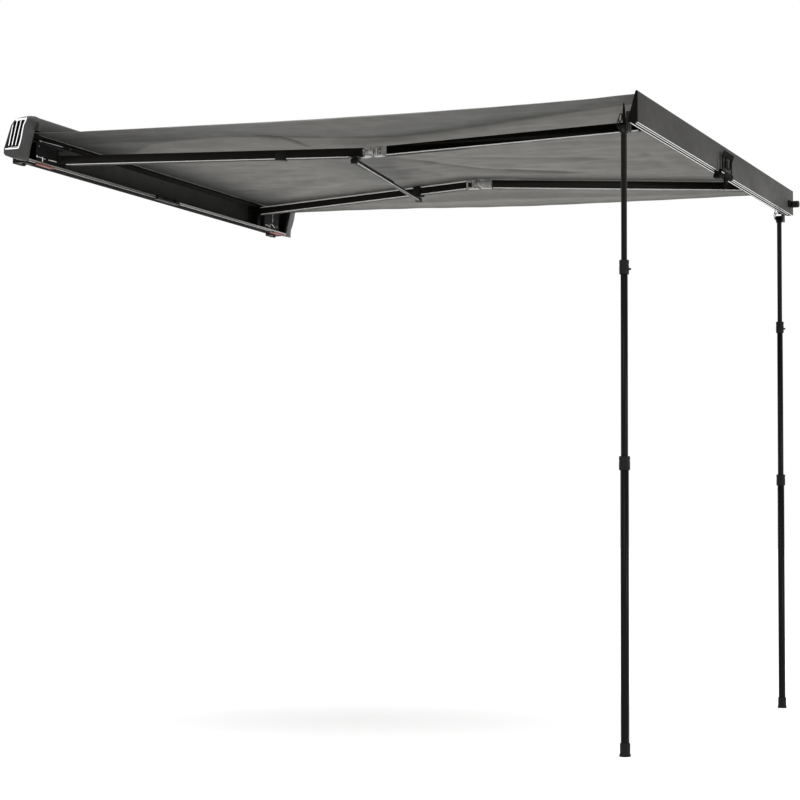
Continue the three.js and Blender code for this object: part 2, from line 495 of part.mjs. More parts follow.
// ---------------------------------------------------------------- legs
function legPieces() {
  const x = -LEG_X, y = LEG_Y, zp = LEG_PIVOT_Z;
  const out = {};
  // bracket: shaped to the back of the rail, with a hanging plate and an upright blade
  const yb = (z) => backY(z) + 0.4;
  const body = alongX([[yb(-40), -40], [y - 16, -40], [y - 13.5, -46], [y - 13.5, zp - 17], [yb(-78) + 1, zp - 17], [yb(-78) + 1, -78]], x - 21, x + 21);
  const blade = new THREE.ExtrudeGeometry(shapeOf([[x - 7, -48], [x + 9, -48], [x + 6, -36], [x + 1.6, -16], [x - 0.6, -16], [x - 4, -36]]), { depth: 5, bevelEnabled: false });
  // shape (x, z) drawn out along Y
  blade.applyMatrix4(new THREE.Matrix4().set(1, 0, 0, 0, 0, 0, -1, y - 13.5, 0, 1, 0, 0, 0, 0, 0, 1));
  out.leg_bracket = cut(unite(body, blade), rodY(5.4, x, zp, y - 60, y + 60, 20));
  // clevis bolt with a wing of wire either side
  const bolt = unite(rodY(5, x, zp, y - 15.5, y + 17, 20), rodY(8.5, x, zp, y + 13.4, y + 17.8, 6));
  const ringPts = [];
  for (let i = 0; i <= 20; i++) {
    const a = Math.PI * 2 * i / 20;
    ringPts.push(new THREE.Vector3(x + 15.5 * Math.cos(a), y + 19.4, zp + 13.5 + 15 * Math.sin(a)));
  }
  const ring = new THREE.ExtrudeGeometry(shapeOf([[1.5, 0], [0.75, 1.3], [-0.75, 1.3], [-1.5, 0], [-0.75, -1.3], [0.75, -1.3]]),
    { steps: 20, bevelEnabled: false, extrudePath: new THREE.CatmullRomCurve3(ringPts.slice(0, 20), true) });
  const nub = rodY(2.6, x, zp, y + 16, y + 21, 12);
  out.leg_bolt = unite(bolt, nub, ring);
  // upper tube: flattened head on the bolt, open tube below
  const tube = turned([[8.6, -780], [R_UP, -780], [R_UP, -112], [R_UP, -104], [8.6, -104], [8.6, -780]], x, y, 24);
  const headShape = [[x - 11, -112], [x + 11, -112], [x + 11, zp], [x + 9.5, zp + 6.5], [x + 5.5, zp + 10], [x, zp + 11], [x - 5.5, zp + 10], [x - 9.5, zp + 6.5], [x - 11, zp]];
  const head = new THREE.ExtrudeGeometry(shapeOf(headShape), { depth: 24.6, bevelEnabled: false });
  head.applyMatrix4(new THREE.Matrix4().set(1, 0, 0, 0, 0, 0, -1, y + 12.3, 0, 1, 0, 0, 0, 0, 0, 1));
  out.leg_upper = cut(unite(tube, head), rodY(5.4, x, zp, y - 40, y + 40, 20), box(x - 30, x + 30, y - 40, y - 12.9, -130, -60));
  out.leg_mid = turned([[10.6, -1385], [R_MID, -1385], [R_MID, -560], [10.6, -560], [10.6, -1385]], x, y, 24);
  out.leg_lower = turned([[12.85, -2213], [R_LOW, -2213], [R_LOW, -1236], [12.85, -1236], [12.85, -2213]], x, y, 24);
  const ringOf = (zt, zb, rIn, rSeat, rOut, seat) => turned([[rIn, seat], [rIn, zt], [rOut - 1.2, zt], [rOut, zt - 2], [rOut, zt - 14], [rOut - 0.9, zt - 15.5], [rOut - 0.9, zt - 17.5], [rOut, zt - 19], [rOut, zb + 2], [rOut - 1.2, zb], [rSeat, zb], [rSeat, seat], [rIn, seat]].reverse(), x, y, 28);
  const screw = (z, r0) => rodY(3.8, x, z, y - r0 - 7, y - r0 + 2, 12);
  out.leg_clamp_upper = unite(ringOf(-553, -602.6, 10.7, 12.8, 17, -559.6), screw(-585, 17));
  out.leg_clamp_lower = ringOf(-1228.6, -1277, 12.85, 15.05, 19.2, -1235.6);
  out.leg_foot = turned([[0, FOOT_LOW], [18.2, FOOT_LOW], [19.5, FOOT_LOW + 3], [19.5, FOOT_LOW + 8], [17.6, FOOT_LOW + 10], [17.6, -2207], [16.8, -2205], [15.05, -2205], [15.05, -2213.4], [0, -2213.4]], x, y, 28);
  return out;
}
{
  const l = legPieces();
  const mats = { leg_bracket: 'black', leg_bolt: 'steel', leg_upper: 'tube', leg_mid: 'tube', leg_lower: 'tube', leg_clamp_upper: 'black', leg_clamp_lower: 'black', leg_foot: 'rubber' };
  for (const [k, g] of Object.entries(l)) {
    add(`${k}_near`, g.clone(), mats[k]);
    add(`${k}_far`, mirrored(g), mats[k]);
  }
}

// ---------------------------------------------------------------- canopy
// one skin from the roller's mouth to the top of the lead rail, sagging between its
// ends and held up where it crosses the upper arm
{
  const Y0 = -107.5, Y1 = RAIL_FRONT + 8.5;
  const H0 = 1160, H1 = 1226;
  const NX = 20, NY = 22;
  const z0 = 46.4, z1 = 29.6;
  const base = (u, v) => {
    // u across -1..1, v from roller 0 to rail 1
    const chord = z0 + (z1 - z0) * v;
    const sag = -17 * Math.sin(Math.PI * v) * (0.75 + 0.25 * u * u) - 10 * Math.pow(Math.abs(u), 8) * (1 - v) * Math.min(1, v * 8) - 5 * Math.pow(Math.abs(u), 6) * Math.sin(Math.PI * v);
    return chord + sag;
  };
  const seg = (p, a, b) => {
    const dx = b[0] - a[0], dy = b[1] - a[1];
    const t = Math.max(0, Math.min(1, ((p[0] - a[0]) * dx + (p[1] - a[1]) * dy) / (dx * dx + dy * dy)));
    return [Math.hypot(p[0] - a[0] - dx * t, p[1] - a[1] - dy * t), t];
  };
  const [zs, zl, zw] = ARM_Z.far;
  const ze = zl - TILT * (PIVOT_X - ELBOW_X);
  const rise = (x, y, z) => {
    let need = z;
    for (const [A, B, za, zb] of [[P.far.S, P.far.E, zs, ze], [P.far.E, P.far.W, ze, zw]]) {
      const [d, t] = seg([x, y], A, B);
      const top = za + (zb - za) * t + ARM_H + 6.5;
      const w = Math.max(0, 1 - Math.max(0, d - 130) / 330);
      const ridge = top - 26 * (1 - w * w * (3 - 2 * w));
      if (ridge > need) need = ridge;
    }
    return need;
  };
  const top = [], bottom = [];
  const T = 0.9;
  for (let j = 0; j <= NY; j++) {
    const v = j / NY;
    const y = Y0 + (Y1 - Y0) * v;
    const h = H0 + (H1 - H0) * v;
    for (let i = 0; i <= NX; i++) {
      const u = -1 + 2 * i / NX;
      const x = u * h;
      let z = base(u, v);
      if (v > 0.03 && v < 0.985) z = Math.max(z, rise(x, y, z));
      top.push([x, y, z + T]);
      bottom.push([x, y, z - T]);
    }
  }
  const n = top.length, W = NX + 1;
  const pos = [...top, ...bottom].flat();
  const idx = [];
  const quad = (a, b, c, d) => idx.push(a, b, c, a, c, d);
  for (let j = 0; j < NY; j++) for (let i = 0; i < NX; i++) {
    const a = j * W + i, b = a + 1, c = a + W + 1, d = a + W;
    quad(a, d, c, b);
    quad(n + a, n + b, n + c, n + d);
  }
  for (let i = 0; i < NX; i++) {
    quad(i, i + 1, n + i + 1, n + i);
    const e = NY * W + i;
    quad(e + 1, e, n + e, n + e + 1);
  }
  for (let j = 0; j < NY; j++) {
    const a = j * W, b = a + W;
    quad(b, a, n + a, n + b);
    const c = a + NX, d = c + W;
    quad(c, d, n + d, n + c);
  }
  const g = new THREE.BufferGeometry();
  g.setAttribute('position', new THREE.BufferAttribute(new Float32Array(pos), 3));
  g.setIndex(idx);
  g.computeVertexNormals();
  add('canopy', g, 'cloth');
}

export default group;
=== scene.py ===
import json
import math
import random

import bmesh
import bpy
import numpy as np
from mathutils import Matrix, Vector


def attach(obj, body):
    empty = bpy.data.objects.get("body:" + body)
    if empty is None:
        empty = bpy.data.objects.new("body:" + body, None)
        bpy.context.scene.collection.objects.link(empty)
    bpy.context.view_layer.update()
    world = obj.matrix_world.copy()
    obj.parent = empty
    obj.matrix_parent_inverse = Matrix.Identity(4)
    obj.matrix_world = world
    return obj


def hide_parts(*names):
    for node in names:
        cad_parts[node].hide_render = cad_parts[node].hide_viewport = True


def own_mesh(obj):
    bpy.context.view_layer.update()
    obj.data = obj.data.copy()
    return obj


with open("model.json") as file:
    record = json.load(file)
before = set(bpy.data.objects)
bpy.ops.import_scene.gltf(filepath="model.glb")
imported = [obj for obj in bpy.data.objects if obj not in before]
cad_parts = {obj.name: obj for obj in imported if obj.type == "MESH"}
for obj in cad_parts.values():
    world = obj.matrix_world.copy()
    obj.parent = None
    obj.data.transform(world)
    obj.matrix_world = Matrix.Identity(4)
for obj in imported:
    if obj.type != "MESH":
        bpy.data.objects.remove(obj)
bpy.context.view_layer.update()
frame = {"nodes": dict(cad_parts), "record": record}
nodes = frame["nodes"]
random.seed(7)
rng = np.random.default_rng(7)

# ------------------------------------------------------------------ sizes (mm, Y measured from the case's back)
SY = -5.5
CASE_HALF, CAP_LEN, SHELL_HALF = 1250.0, 70.0, 1179.7
CASE_LOW, LIP_FRONT = -62.0, -67.0
F, B, T, DEPTH = -2520.0, -80.0, 29.4, 35.0
RAIL_HALF = 1236.0
PIVOT_X, SHOULDER_Y, WRIST_Y = 925.0, -40.0, F + 56
ELBOW_X, ELBOW_Y = 612.0, (SHOULDER_Y + F + 56) / 2
LINK = math.hypot(PIVOT_X - ELBOW_X, SHOULDER_Y - ELBOW_Y)
TILT = 0.016
ARM_Z = {"near": (-41, -25.5, -54), "far": (-2, 22.6, -14)}
LEAN_Z = {"near": -22.0, "far": 16.5}
ARM_OFF, ARM_W, ARM_H = 14.0, 25.0, 37.0
LEG_X, LEG_Y, LEG_Z, FOOT_LOW = 1212.7, F + 56.7, -92.0, -2250.7
BODY = {n: b for b, ns in frame["record"]["behaviour"]["bodies"].items() for n in ns}


def pt(x, y, z):
    """A point from millimetres in the layout to metres in the row frame."""
    return Vector((x, y + SY, z)) * 0.001


# ------------------------------------------------------------------ materials
class Mat:
    def __init__(self, name, rough=0.5, metal=0.0, **sockets):
        self.m = bpy.data.materials.new(name)
        self.m.use_nodes = True
        self.nt = self.m.node_tree
        self.nt.nodes.clear()
        self.out = self.nt.nodes.new("ShaderNodeOutputMaterial")
        self.b = self.nt.nodes.new("ShaderNodeBsdfPrincipled")
        self.link(self.b.outputs[0], self.out.inputs[0])
        self.b.inputs["Roughness"].default_value = rough
        self.b.inputs["Metallic"].default_value = metal
        for k, v in sockets.items():
            self.b.inputs[k.replace("_", " ")].default_value = v
        self.co = self.nt.nodes.new("ShaderNodeTexCoord")

    def link(self, a, b):
        self.nt.links.new(a, b)

    def node(self, kind, **props):
        n = self.nt.nodes.new(kind)
        for k, v in props.items():
            setattr(n, k, v)
        return n

    def coord(self, scale=(1, 1, 1), source="Object"):
        mp = self.node("ShaderNodeMapping")
        mp.inputs["Scale"].default_value = scale
        self.link(self.co.outputs[source], mp.inputs["Vector"])
        return mp.outputs[0]

    def noise(self, scale, detail=3.0, rough=0.5, stretch=(1, 1, 1), source="Object"):
        n = self.node("ShaderNodeTexNoise")
        n.inputs["Scale"].default_value = scale
        n.inputs["Detail"].default_value = detail
        n.inputs["Roughness"].default_value = rough
        self.link(self.coord(stretch, source), n.inputs["Vector"])
        return n.outputs["Fac"]

    def wave(self, period, axis="X", source="Object", distortion=0.0):
        n = self.node("ShaderNodeTexWave", wave_type="BANDS", bands_direction=axis)
        n.inputs["Scale"].default_value = 2 * math.pi / (20 * period)
        n.inputs["Distortion"].default_value = distortion
        self.link(self.coord((1, 1, 1), source), n.inputs["Vector"])
        return n.outputs["Fac"]

    def math(self, op, a, b):
        n = self.node("ShaderNodeMath", operation=op)
        for i, v in enumerate((a, b)):
            if isinstance(v, (int, float)):
                n.inputs[i].default_value = v
            else:
                self.link(v, n.inputs[i])
        return n.outputs[0]

    def ramp(self, fac, stops):
        n = self.node("ShaderNodeValToRGB")
        e = n.color_ramp.elements
        while len(e) < len(stops):
            e.new(0.5)
        for k, (p, c) in zip(e, stops):
            k.position, k.color = p, (*c, 1)
        self.link(fac, n.inputs[0])
        return n.outputs[0]

    def span(self, fac, lo, hi, a=0.3, b=0.7):
        n = self.node("ShaderNodeMapRange")
        n.inputs["From Min"].default_value, n.inputs["From Max"].default_value = a, b
        n.inputs["To Min"].default_value, n.inputs["To Max"].default_value = lo, hi
        self.link(fac, n.inputs["Value"])
        return n.outputs[0]

    def mix(self, fac, a, b, blend="MIX"):
        n = self.node("ShaderNodeMix", data_type="RGBA", blend_type=blend)
        ins = [s for s in n.inputs if s.type == "RGBA"]
        if isinstance(fac, (int, float)):
            n.inputs[0].default_value = fac
        else:
            self.link(fac, n.inputs[0])
        for s, v in zip(ins, (a, b)):
            if isinstance(v, tuple):
                s.default_value = (*v, 1)
            else:
                self.link(v, s)
        return [o for o in n.outputs if o.type == "RGBA"][0]

    def color(self, socket):
        self.link(socket, self.b.inputs["Base Color"])
        return self

    def rough(self, socket):
        self.link(socket, self.b.inputs["Roughness"])
        return self

    def bump(self, *layers):
        last = None
        for height, strength, distance in layers:
            n = self.node("ShaderNodeBump")
            n.inputs["Strength"].default_value = strength
            n.inputs["Distance"].default_value = distance
            self.link(height, n.inputs["Height"])
            if last is not None:
                self.link(last, n.inputs["Normal"])
            last = n.outputs[0]
        self.link(last, self.b.inputs["Normal"])
        return self


def tint(c, k):
    return tuple(min(1.0, x * k) for x in c)


def coated(name, c, rough, metal=0.0, grain=1400, depth=0.00005, patch=7.0, vary=0.14, stretch=(1, 1, 1), **kw):
    """Paint or powder coat: cloudy tone, fine orange peel, uneven gloss."""
    m = Mat(name, rough, metal, **kw)
    cloud = m.noise(patch, 4, 0.6, stretch)
    fine = m.noise(grain * 0.4, 2, 0.5, stretch)
    tone = m.ramp(cloud, [(0.25, tint(c, 1 - vary)), (0.55, c), (0.8, tint(c, 1 + vary))])
    m.color(m.mix(0.12, tone, m.ramp(fine, [(0.35, tint(c, 0.6)), (0.65, tint(c, 1.5))])))
    m.rough(m.span(m.noise(patch * 3.1, 5, 0.6, stretch), rough * 0.82, min(1, rough * 1.2)))
    m.bump((m.noise(grain, 2, 0.5), 0.35, depth))
    return m.m


def brushed(name, c, rough, axis=0, lines=900, **kw):
    """Bare aluminium or steel with lines along one axis."""
    s = [1.0, 1.0, 1.0]
    s[axis] = 0.006
    m = Mat(name, rough, 1.0, **kw)
    line = m.noise(lines, 3, 0.6, tuple(s))
    cloud = m.noise(9, 4, 0.6)
    m.color(m.mix(m.span(line, 0, 1), tint(c, 0.82), m.ramp(cloud, [(0.3, tint(c, 0.92)), (0.7, tint(c, 1.06))])))
    m.rough(m.span(line, rough * 0.7, min(1, rough * 1.4)))
    m.bump((line, 0.25, 0.00008))
    return m.m


def moulded(name, c, rough, grain=2200, depth=0.00006, **kw):
    """Moulded plastic with an etched grain and a faint flow tone."""
    m = Mat(name, rough, 0.0, **kw)
    v = m.node("ShaderNodeTexVoronoi")
    v.inputs["Scale"].default_value = grain
    m.link(m.coord(), v.inputs["Vector"])
    cloud = m.noise(14, 4, 0.6)
    m.color(m.ramp(cloud, [(0.3, tint(c, 0.88)), (0.7, tint(c, 1.12))]))
    m.rough(m.span(m.noise(60, 4, 0.6), rough * 0.85, min(1, rough * 1.15)))
    m.bump((v.outputs["Distance"], 0.4, depth))
    return m.m


def cloth(name, c, rough, seed=0.0, painted_shade_weight=1.0):
    """Coated ripstop: fine weave, a thicker thread every 6 mm, faint clouds, stitching along the hems, and painted
    shade and painted light multiplied in from the sheet's tone attribute.
    """
    m = Mat(name, rough, 0.0, Specular_IOR_Level=0.16, Sheen_Weight=0.05, Sheen_Roughness=0.5)
    uv = "UV"
    weft, warp = m.wave(0.0011, "X", uv), m.wave(0.0011, "Y", uv)
    weave = m.math("MULTIPLY", weft, warp)
    rip = m.math("MAXIMUM", m.span(m.wave(0.006, "X", uv), 0, 1, 0.9, 1.0), m.span(m.wave(0.006, "Y", uv), 0, 1, 0.9, 1.0))
    cloud = m.noise(2.3 + seed, 5, 0.62)
    mottle = m.noise(38, 4, 0.6)
    base = m.ramp(cloud, [(0.3, tint(c, 0.93)), (0.7, tint(c, 1.07))])
    base = m.mix(0.25, base, m.ramp(mottle, [(0.3, tint(c, 0.88)), (0.7, tint(c, 1.12))]))
    base = m.mix(m.math("MULTIPLY", rip, 0.28), base, tint(c, 0.72))
    # stitches: two rows 8 and 32 mm in from each long edge, read from the cut's own width
    sep = m.node("ShaderNodeSeparateXYZ")
    m.link(m.co.outputs["UV"], sep.inputs[0])
    rows = None
    for at in (0.008, 0.032):
        for edge in (0.0, 2.39):
            d = m.math("ABSOLUTE", m.math("SUBTRACT", sep.outputs[0], abs(edge - at)), 0)
            hit = m.math("LESS_THAN", d, 0.0009)
            rows = hit if rows is None else m.math("MAXIMUM", rows, hit)
    dash = m.math("GREATER_THAN", m.wave(0.0042, "Y", uv), 0.35)
    stitch = m.math("MULTIPLY", rows, dash)
    base = m.mix(stitch, base, tint(c, 0.45))
    # painted shade in the creases, beside the far arms and next to the case, and painted light on some folds,
    # multiplied in from the sheet's tone attribute
    at = m.node("ShaderNodeAttribute", attribute_type="GEOMETRY", attribute_name="tone")
    m.color(m.mix(painted_shade_weight, base, at.outputs["Color"], "MULTIPLY"))
    m.rough(m.span(m.noise(11, 4, 0.6), rough * 0.85, min(1, rough * 1.12)))
    m.bump((m.noise(16, 3, 0.55), 0.30, 0.0016), (weave, 0.35, 0.0002), (rip, 0.5, 0.0002), (stitch, 0.5, 0.0006))
    return m.m


BLACK = (0.0062, 0.006, 0.0055)
M = {
    "shell": coated("shell_coat", (0.020, 0.0195, 0.0182), 0.5, patch=3, stretch=(0.5, 1, 1), Specular_IOR_Level=0.2),
    "hood": coated("hood_coat", (0.033, 0.033, 0.032), 0.46, patch=3, stretch=(0.5, 1, 1), Specular_IOR_Level=0.3),
    "bay": coated("bay_painted_shade", (0.015, 0.0146, 0.0136), 0.55, patch=3, stretch=(0.5, 1, 1), Specular_IOR_Level=0.12),
    "cap": moulded("cap_moulding", (0.026, 0.026, 0.0253), 0.48, Specular_IOR_Level=0.3),
    "slot": moulded("slot_moulding", (0.004, 0.004, 0.004), 0.65, Specular_IOR_Level=0.1),
    "rib": moulded("white_trim_and_highlight", (0.86, 0.86, 0.86), 0.30),
    "silver": brushed("strip_brushed", (0.44, 0.435, 0.42), 0.40, axis=0),
    "bright": brushed("bright_brushed_and_glint", (0.78, 0.775, 0.76), 0.34, axis=0),
    "dull": brushed("edge_dull", (0.26, 0.255, 0.245), 0.40, axis=0),
    "lead": brushed("edge_lead", (0.10, 0.098, 0.094), 0.45, axis=0, Specular_IOR_Level=0.3),
    "ink": moulded("ink_moulding", (0.0036, 0.0034, 0.003), 0.8, Specular_IOR_Level=0.03),
    "edge_far": coated("arm_edge_painted_highlight", (0.66, 0.655, 0.635), 0.42, metal=0.25, grain=700, patch=30, vary=0.06),
    "shade": coated("lip_shade", (0.006, 0.0058, 0.0054), 0.85, patch=3, Specular_IOR_Level=0.02),
    "cast": coated("cast_aluminium", (0.30, 0.298, 0.29), 0.44, metal=0.7, grain=500, depth=0.00012, patch=60, vary=0.28),
    "arm": coated("arm_coat", (0.0058, 0.0054, 0.0044), 0.42, grain=1100, patch=5, Specular_IOR_Level=0.07),
    "arm_edge": brushed("arm_edge", (0.50, 0.49, 0.47), 0.34, axis=1),
    "black": moulded("black_moulding", BLACK, 0.50, Specular_IOR_Level=0.10),
    "iron": coated("iron_coat", (0.0062, 0.006, 0.0054), 0.45, grain=900, patch=24, Specular_IOR_Level=0.10),
    "steel": brushed("steel_bright", (0.55, 0.54, 0.52), 0.28, axis=2),
    "zinc": coated("zinc_plate", (0.62, 0.615, 0.59), 0.34, metal=1.0, grain=800, patch=60, vary=0.1),
    "red": moulded("red_moulding", (0.15, 0.024, 0.015), 0.5, Specular_IOR_Level=0.2),
    "rail": coated("rail_coat", (0.0235, 0.0227, 0.0204), 0.55, patch=2.2, stretch=(0.6, 1, 1), vary=0.07, Specular_IOR_Level=0.12),
    "tube": coated("tube_coat", (0.0028, 0.0026, 0.0024), 0.20, grain=1200, patch=12, stretch=(1, 1, 0.15), Specular_IOR_Level=0.08),
    "rubber": moulded("rubber_moulding", (0.006, 0.006, 0.006), 0.72, grain=1500, depth=0.0001, Specular_IOR_Level=0.15),
    "under": cloth("cloth_under", (0.088, 0.0860, 0.0770), 0.68),
    "over": cloth("cloth_over", (0.18, 0.1765, 0.167), 0.7, 0.4, 0.3),
}


# ------------------------------------------------------------------ mesh helpers
def new_obj(name, mesh, body, mat, replaces=(), bevel=0.0, seg=2, limit=32, squash=False):
    o = bpy.data.objects.new(name, mesh)
    bpy.context.scene.collection.objects.link(o)
    mesh.materials.clear()
    for k in mat if isinstance(mat, (list, tuple)) else [mat]:
        mesh.materials.append(M[k])
    mesh.polygons.foreach_set("use_smooth", [True] * len(mesh.polygons))
    if bevel:
        b = o.modifiers.new("edge", "BEVEL")
        b.width, b.segments, b.limit_method, b.angle_limit = bevel * 0.001, seg, "ANGLE", math.radians(limit)
        b.harden_normals = True
        b.miter_outer = "MITER_ARC"
    else:
        mesh.set_sharp_from_angle(angle=math.radians(limit))
    if body:
        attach(o, body)
    if replaces:
        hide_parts(*([replaces] if isinstance(replaces, str) else replaces))
    return o


def from_bm(name, bm, body, mat, **kw):
    bmesh.ops.recalc_face_normals(bm, faces=bm.faces)
    me = bpy.data.meshes.new(name)
    bm.to_mesh(me)
    bm.free()
    return new_obj(name, me, body, mat, **kw)


def refine(node, mat, bevel=0.5, seg=2, limit=32, name=None):
    """The CAD node's own shape with welded faces, softened edges and a finished material."""
    bm = bmesh.new()
    bm.from_mesh(nodes[node].data)
    bmesh.ops.remove_doubles(bm, verts=bm.verts, dist=3e-6)
    bmesh.ops.dissolve_limit(bm, angle_limit=math.radians(0.6), verts=bm.verts, edges=bm.edges)
    return from_bm(name or "v_" + node, bm, BODY[node], mat, replaces=node, bevel=bevel, seg=seg, limit=limit)


def fillet(points, radii, n=4):
    """Rounds the corners of a closed 2D outline; radii is one number or one per corner."""
    out = []
    k = len(points)
    for i, p in enumerate(points):
        r = radii if isinstance(radii, (int, float)) else radii[i]
        a, b = Vector(points[i - 1]), Vector(points[(i + 1) % k])
        p = Vector(p)
        u, v = a - p, b - p
        lu, lv = u.length, v.length
        u, v = u.normalized(), v.normalized()
        ang = u.angle(v, math.pi)
        if r <= 0 or ang > math.radians(176) or ang < 0.02:
            out.append(tuple(p))
            continue
        d = min(r / math.tan(ang / 2), lu * 0.45, lv * 0.45)
        s, e = p + u * d, p + v * d
        for j in range(n + 1):
            t = j / n
            out.append(tuple(s * (1 - t) ** 2 + p * 2 * t * (1 - t) + e * t**2))
    return out


def prism(name, outline, axis, lo, hi, body, mat, holes=(), **kw):
    """Closed outline drawn out along an axis: 'X' takes (y, z), 'Y' takes (x, z), 'Z' takes (x, y)."""
    put = {"X": lambda a, b, c: pt(c, a, b), "Y": lambda a, b, c: pt(a, c, b), "Z": lambda a, b, c: pt(a, b, c)}[axis]
    bm = bmesh.new()
    loops = []
    for pts in [outline, *holes]:
        ends = [[bm.verts.new(put(a, b, c)) for a, b in pts] for c in (lo, hi)]
        loops.append(ends)
        n = len(pts)
        for i in range(n):
            j = (i + 1) % n
            bm.faces.new((ends[0][i], ends[0][j], ends[1][j], ends[1][i]))
    if not holes:
        bm.faces.new(loops[0][0][::-1])
        bm.faces.new(loops[0][1])
    else:
        for e in (0, 1):
            edges = []
            for ends in loops:
                vs = ends[e]
                for i in range(len(vs)):
                    edges.append(bm.edges.get((vs[i], vs[(i + 1) % len(vs)])))
            bmesh.ops.triangle_fill(bm, edges=edges, use_beauty=True)
        bmesh.ops.dissolve_limit(bm, angle_limit=0.005, verts=bm.verts, edges=bm.edges)
    return from_bm(name, bm, body, mat, **kw)


def turned(name, profile, centre, axis, body, mat, seg=40, **kw):
    """Closed (radius, height) profile turned about a line through centre along axis (a vector)."""
    bm = bmesh.new()
    ax = Vector(axis).normalized()
    q = Vector((0, 0, 1)).rotation_difference(ax)
    c = pt(*centre)
    rings = []
    for r, h in profile:
        if r < 1e-6:
            rings.append([bm.verts.new(c + q @ Vector((0, 0, h * 0.001)))])
        else:
            rings.append([bm.verts.new(c + q @ Vector((r * math.cos(2 * math.pi * i / seg), r * math.sin(2 * math.pi * i / seg), h)) * 0.001) for i in range(seg)])
    closed = not (len(rings[0]) == 1 and len(rings[-1]) == 1)
    pairs = list(zip(rings, rings[1:])) + ([(rings[-1], rings[0])] if closed else [])
    for a, b in pairs:
        for i in range(seg):
            j = (i + 1) % seg
            vs = [a[i % len(a)], a[j % len(a)], b[j % len(b)], b[i % len(b)]]
            vs = list(dict.fromkeys(vs))
            if len(vs) > 2:
                bm.faces.new(vs)
    return from_bm(name, bm, body, mat, **kw)


def swept(name, path, radius, body, mat, sides=10, closed=False, flat=None, **kw):
    """Round (or flat = (width, thickness, up)) bar along a path of layout points in mm."""
    P = [pt(*p) for p in path]
    n = len(P)
    bm = bmesh.new()
    rings = []
    up = Vector(flat[2]) if flat else None
    prev = None
    for i in range(n):
        a = P[i - 1] if (i or closed) else P[i]
        b = P[(i + 1) % n] if (i < n - 1 or closed) else P[i]
        t = (b - a).normalized()
        if flat:
            s = t.cross(up).normalized()
            u = s.cross(t).normalized()
            w, h = flat[0] * 0.0005, flat[1] * 0.0005
            c = min(w, h) * 0.45
            offs = [(-w + c, -h), (w - c, -h), (w, -h + c), (w, h - c), (w - c, h), (-w + c, h), (-w, h - c), (-w, -h + c)]
            rings.append([bm.verts.new(P[i] + s * x + u * y) for x, y in offs])
        else:
            if prev is None:
                prev = t.orthogonal().normalized()
            u = (prev - t * prev.dot(t)).normalized()
            prev = u
            s = t.cross(u)
            rings.append([bm.verts.new(P[i] + (u * math.cos(2 * math.pi * k / sides) + s * math.sin(2 * math.pi * k / sides)) * radius * 0.001) for k in range(sides)])
    k = len(rings[0])
    for i in range(n if closed else n - 1):
        a, b = rings[i], rings[(i + 1) % n]
        for j in range(k):
            bm.faces.new((a[j], a[(j + 1) % k], b[(j + 1) % k], b[j]))
    if not closed:
        bm.faces.new(rings[0][::-1])
        bm.faces.new(rings[-1])
    return from_bm(name, bm, body, mat, **kw)


def smooth_path(points, n=8):
    """Catmull-Rom through the points."""
    P = [Vector(p) for p in points]
    P = [2 * P[0] - P[1]] + P + [2 * P[-1] - P[-2]]
    out = []
    for i in range(1, len(P) - 2):
        for j in range(n):
            t = j / n
            a, b, c, d = P[i - 1], P[i], P[i + 1], P[i + 2]
            out.append(tuple(0.5 * ((2 * b) + (c - a) * t + (2 * a - 5 * b + 4 * c - d) * t * t + (3 * b - a - 3 * c + d) * t**3)))
    out.append(tuple(P[-2]))
    return out


def screw(name, at, axis, body, r=4.0, mat="zinc"):
    """Button head with a hex socket, standing on a surface."""
    prof = [(0, -0.3), (r, -0.3), (r, 0.3), (r * 0.93, r * 0.28), (r * 0.72, r * 0.45), (r * 0.45, r * 0.5), (r * 0.43, r * 0.18), (0, r * 0.18)]
    return turned(name, prof, at, axis, body, mat, seg=18, limit=25)


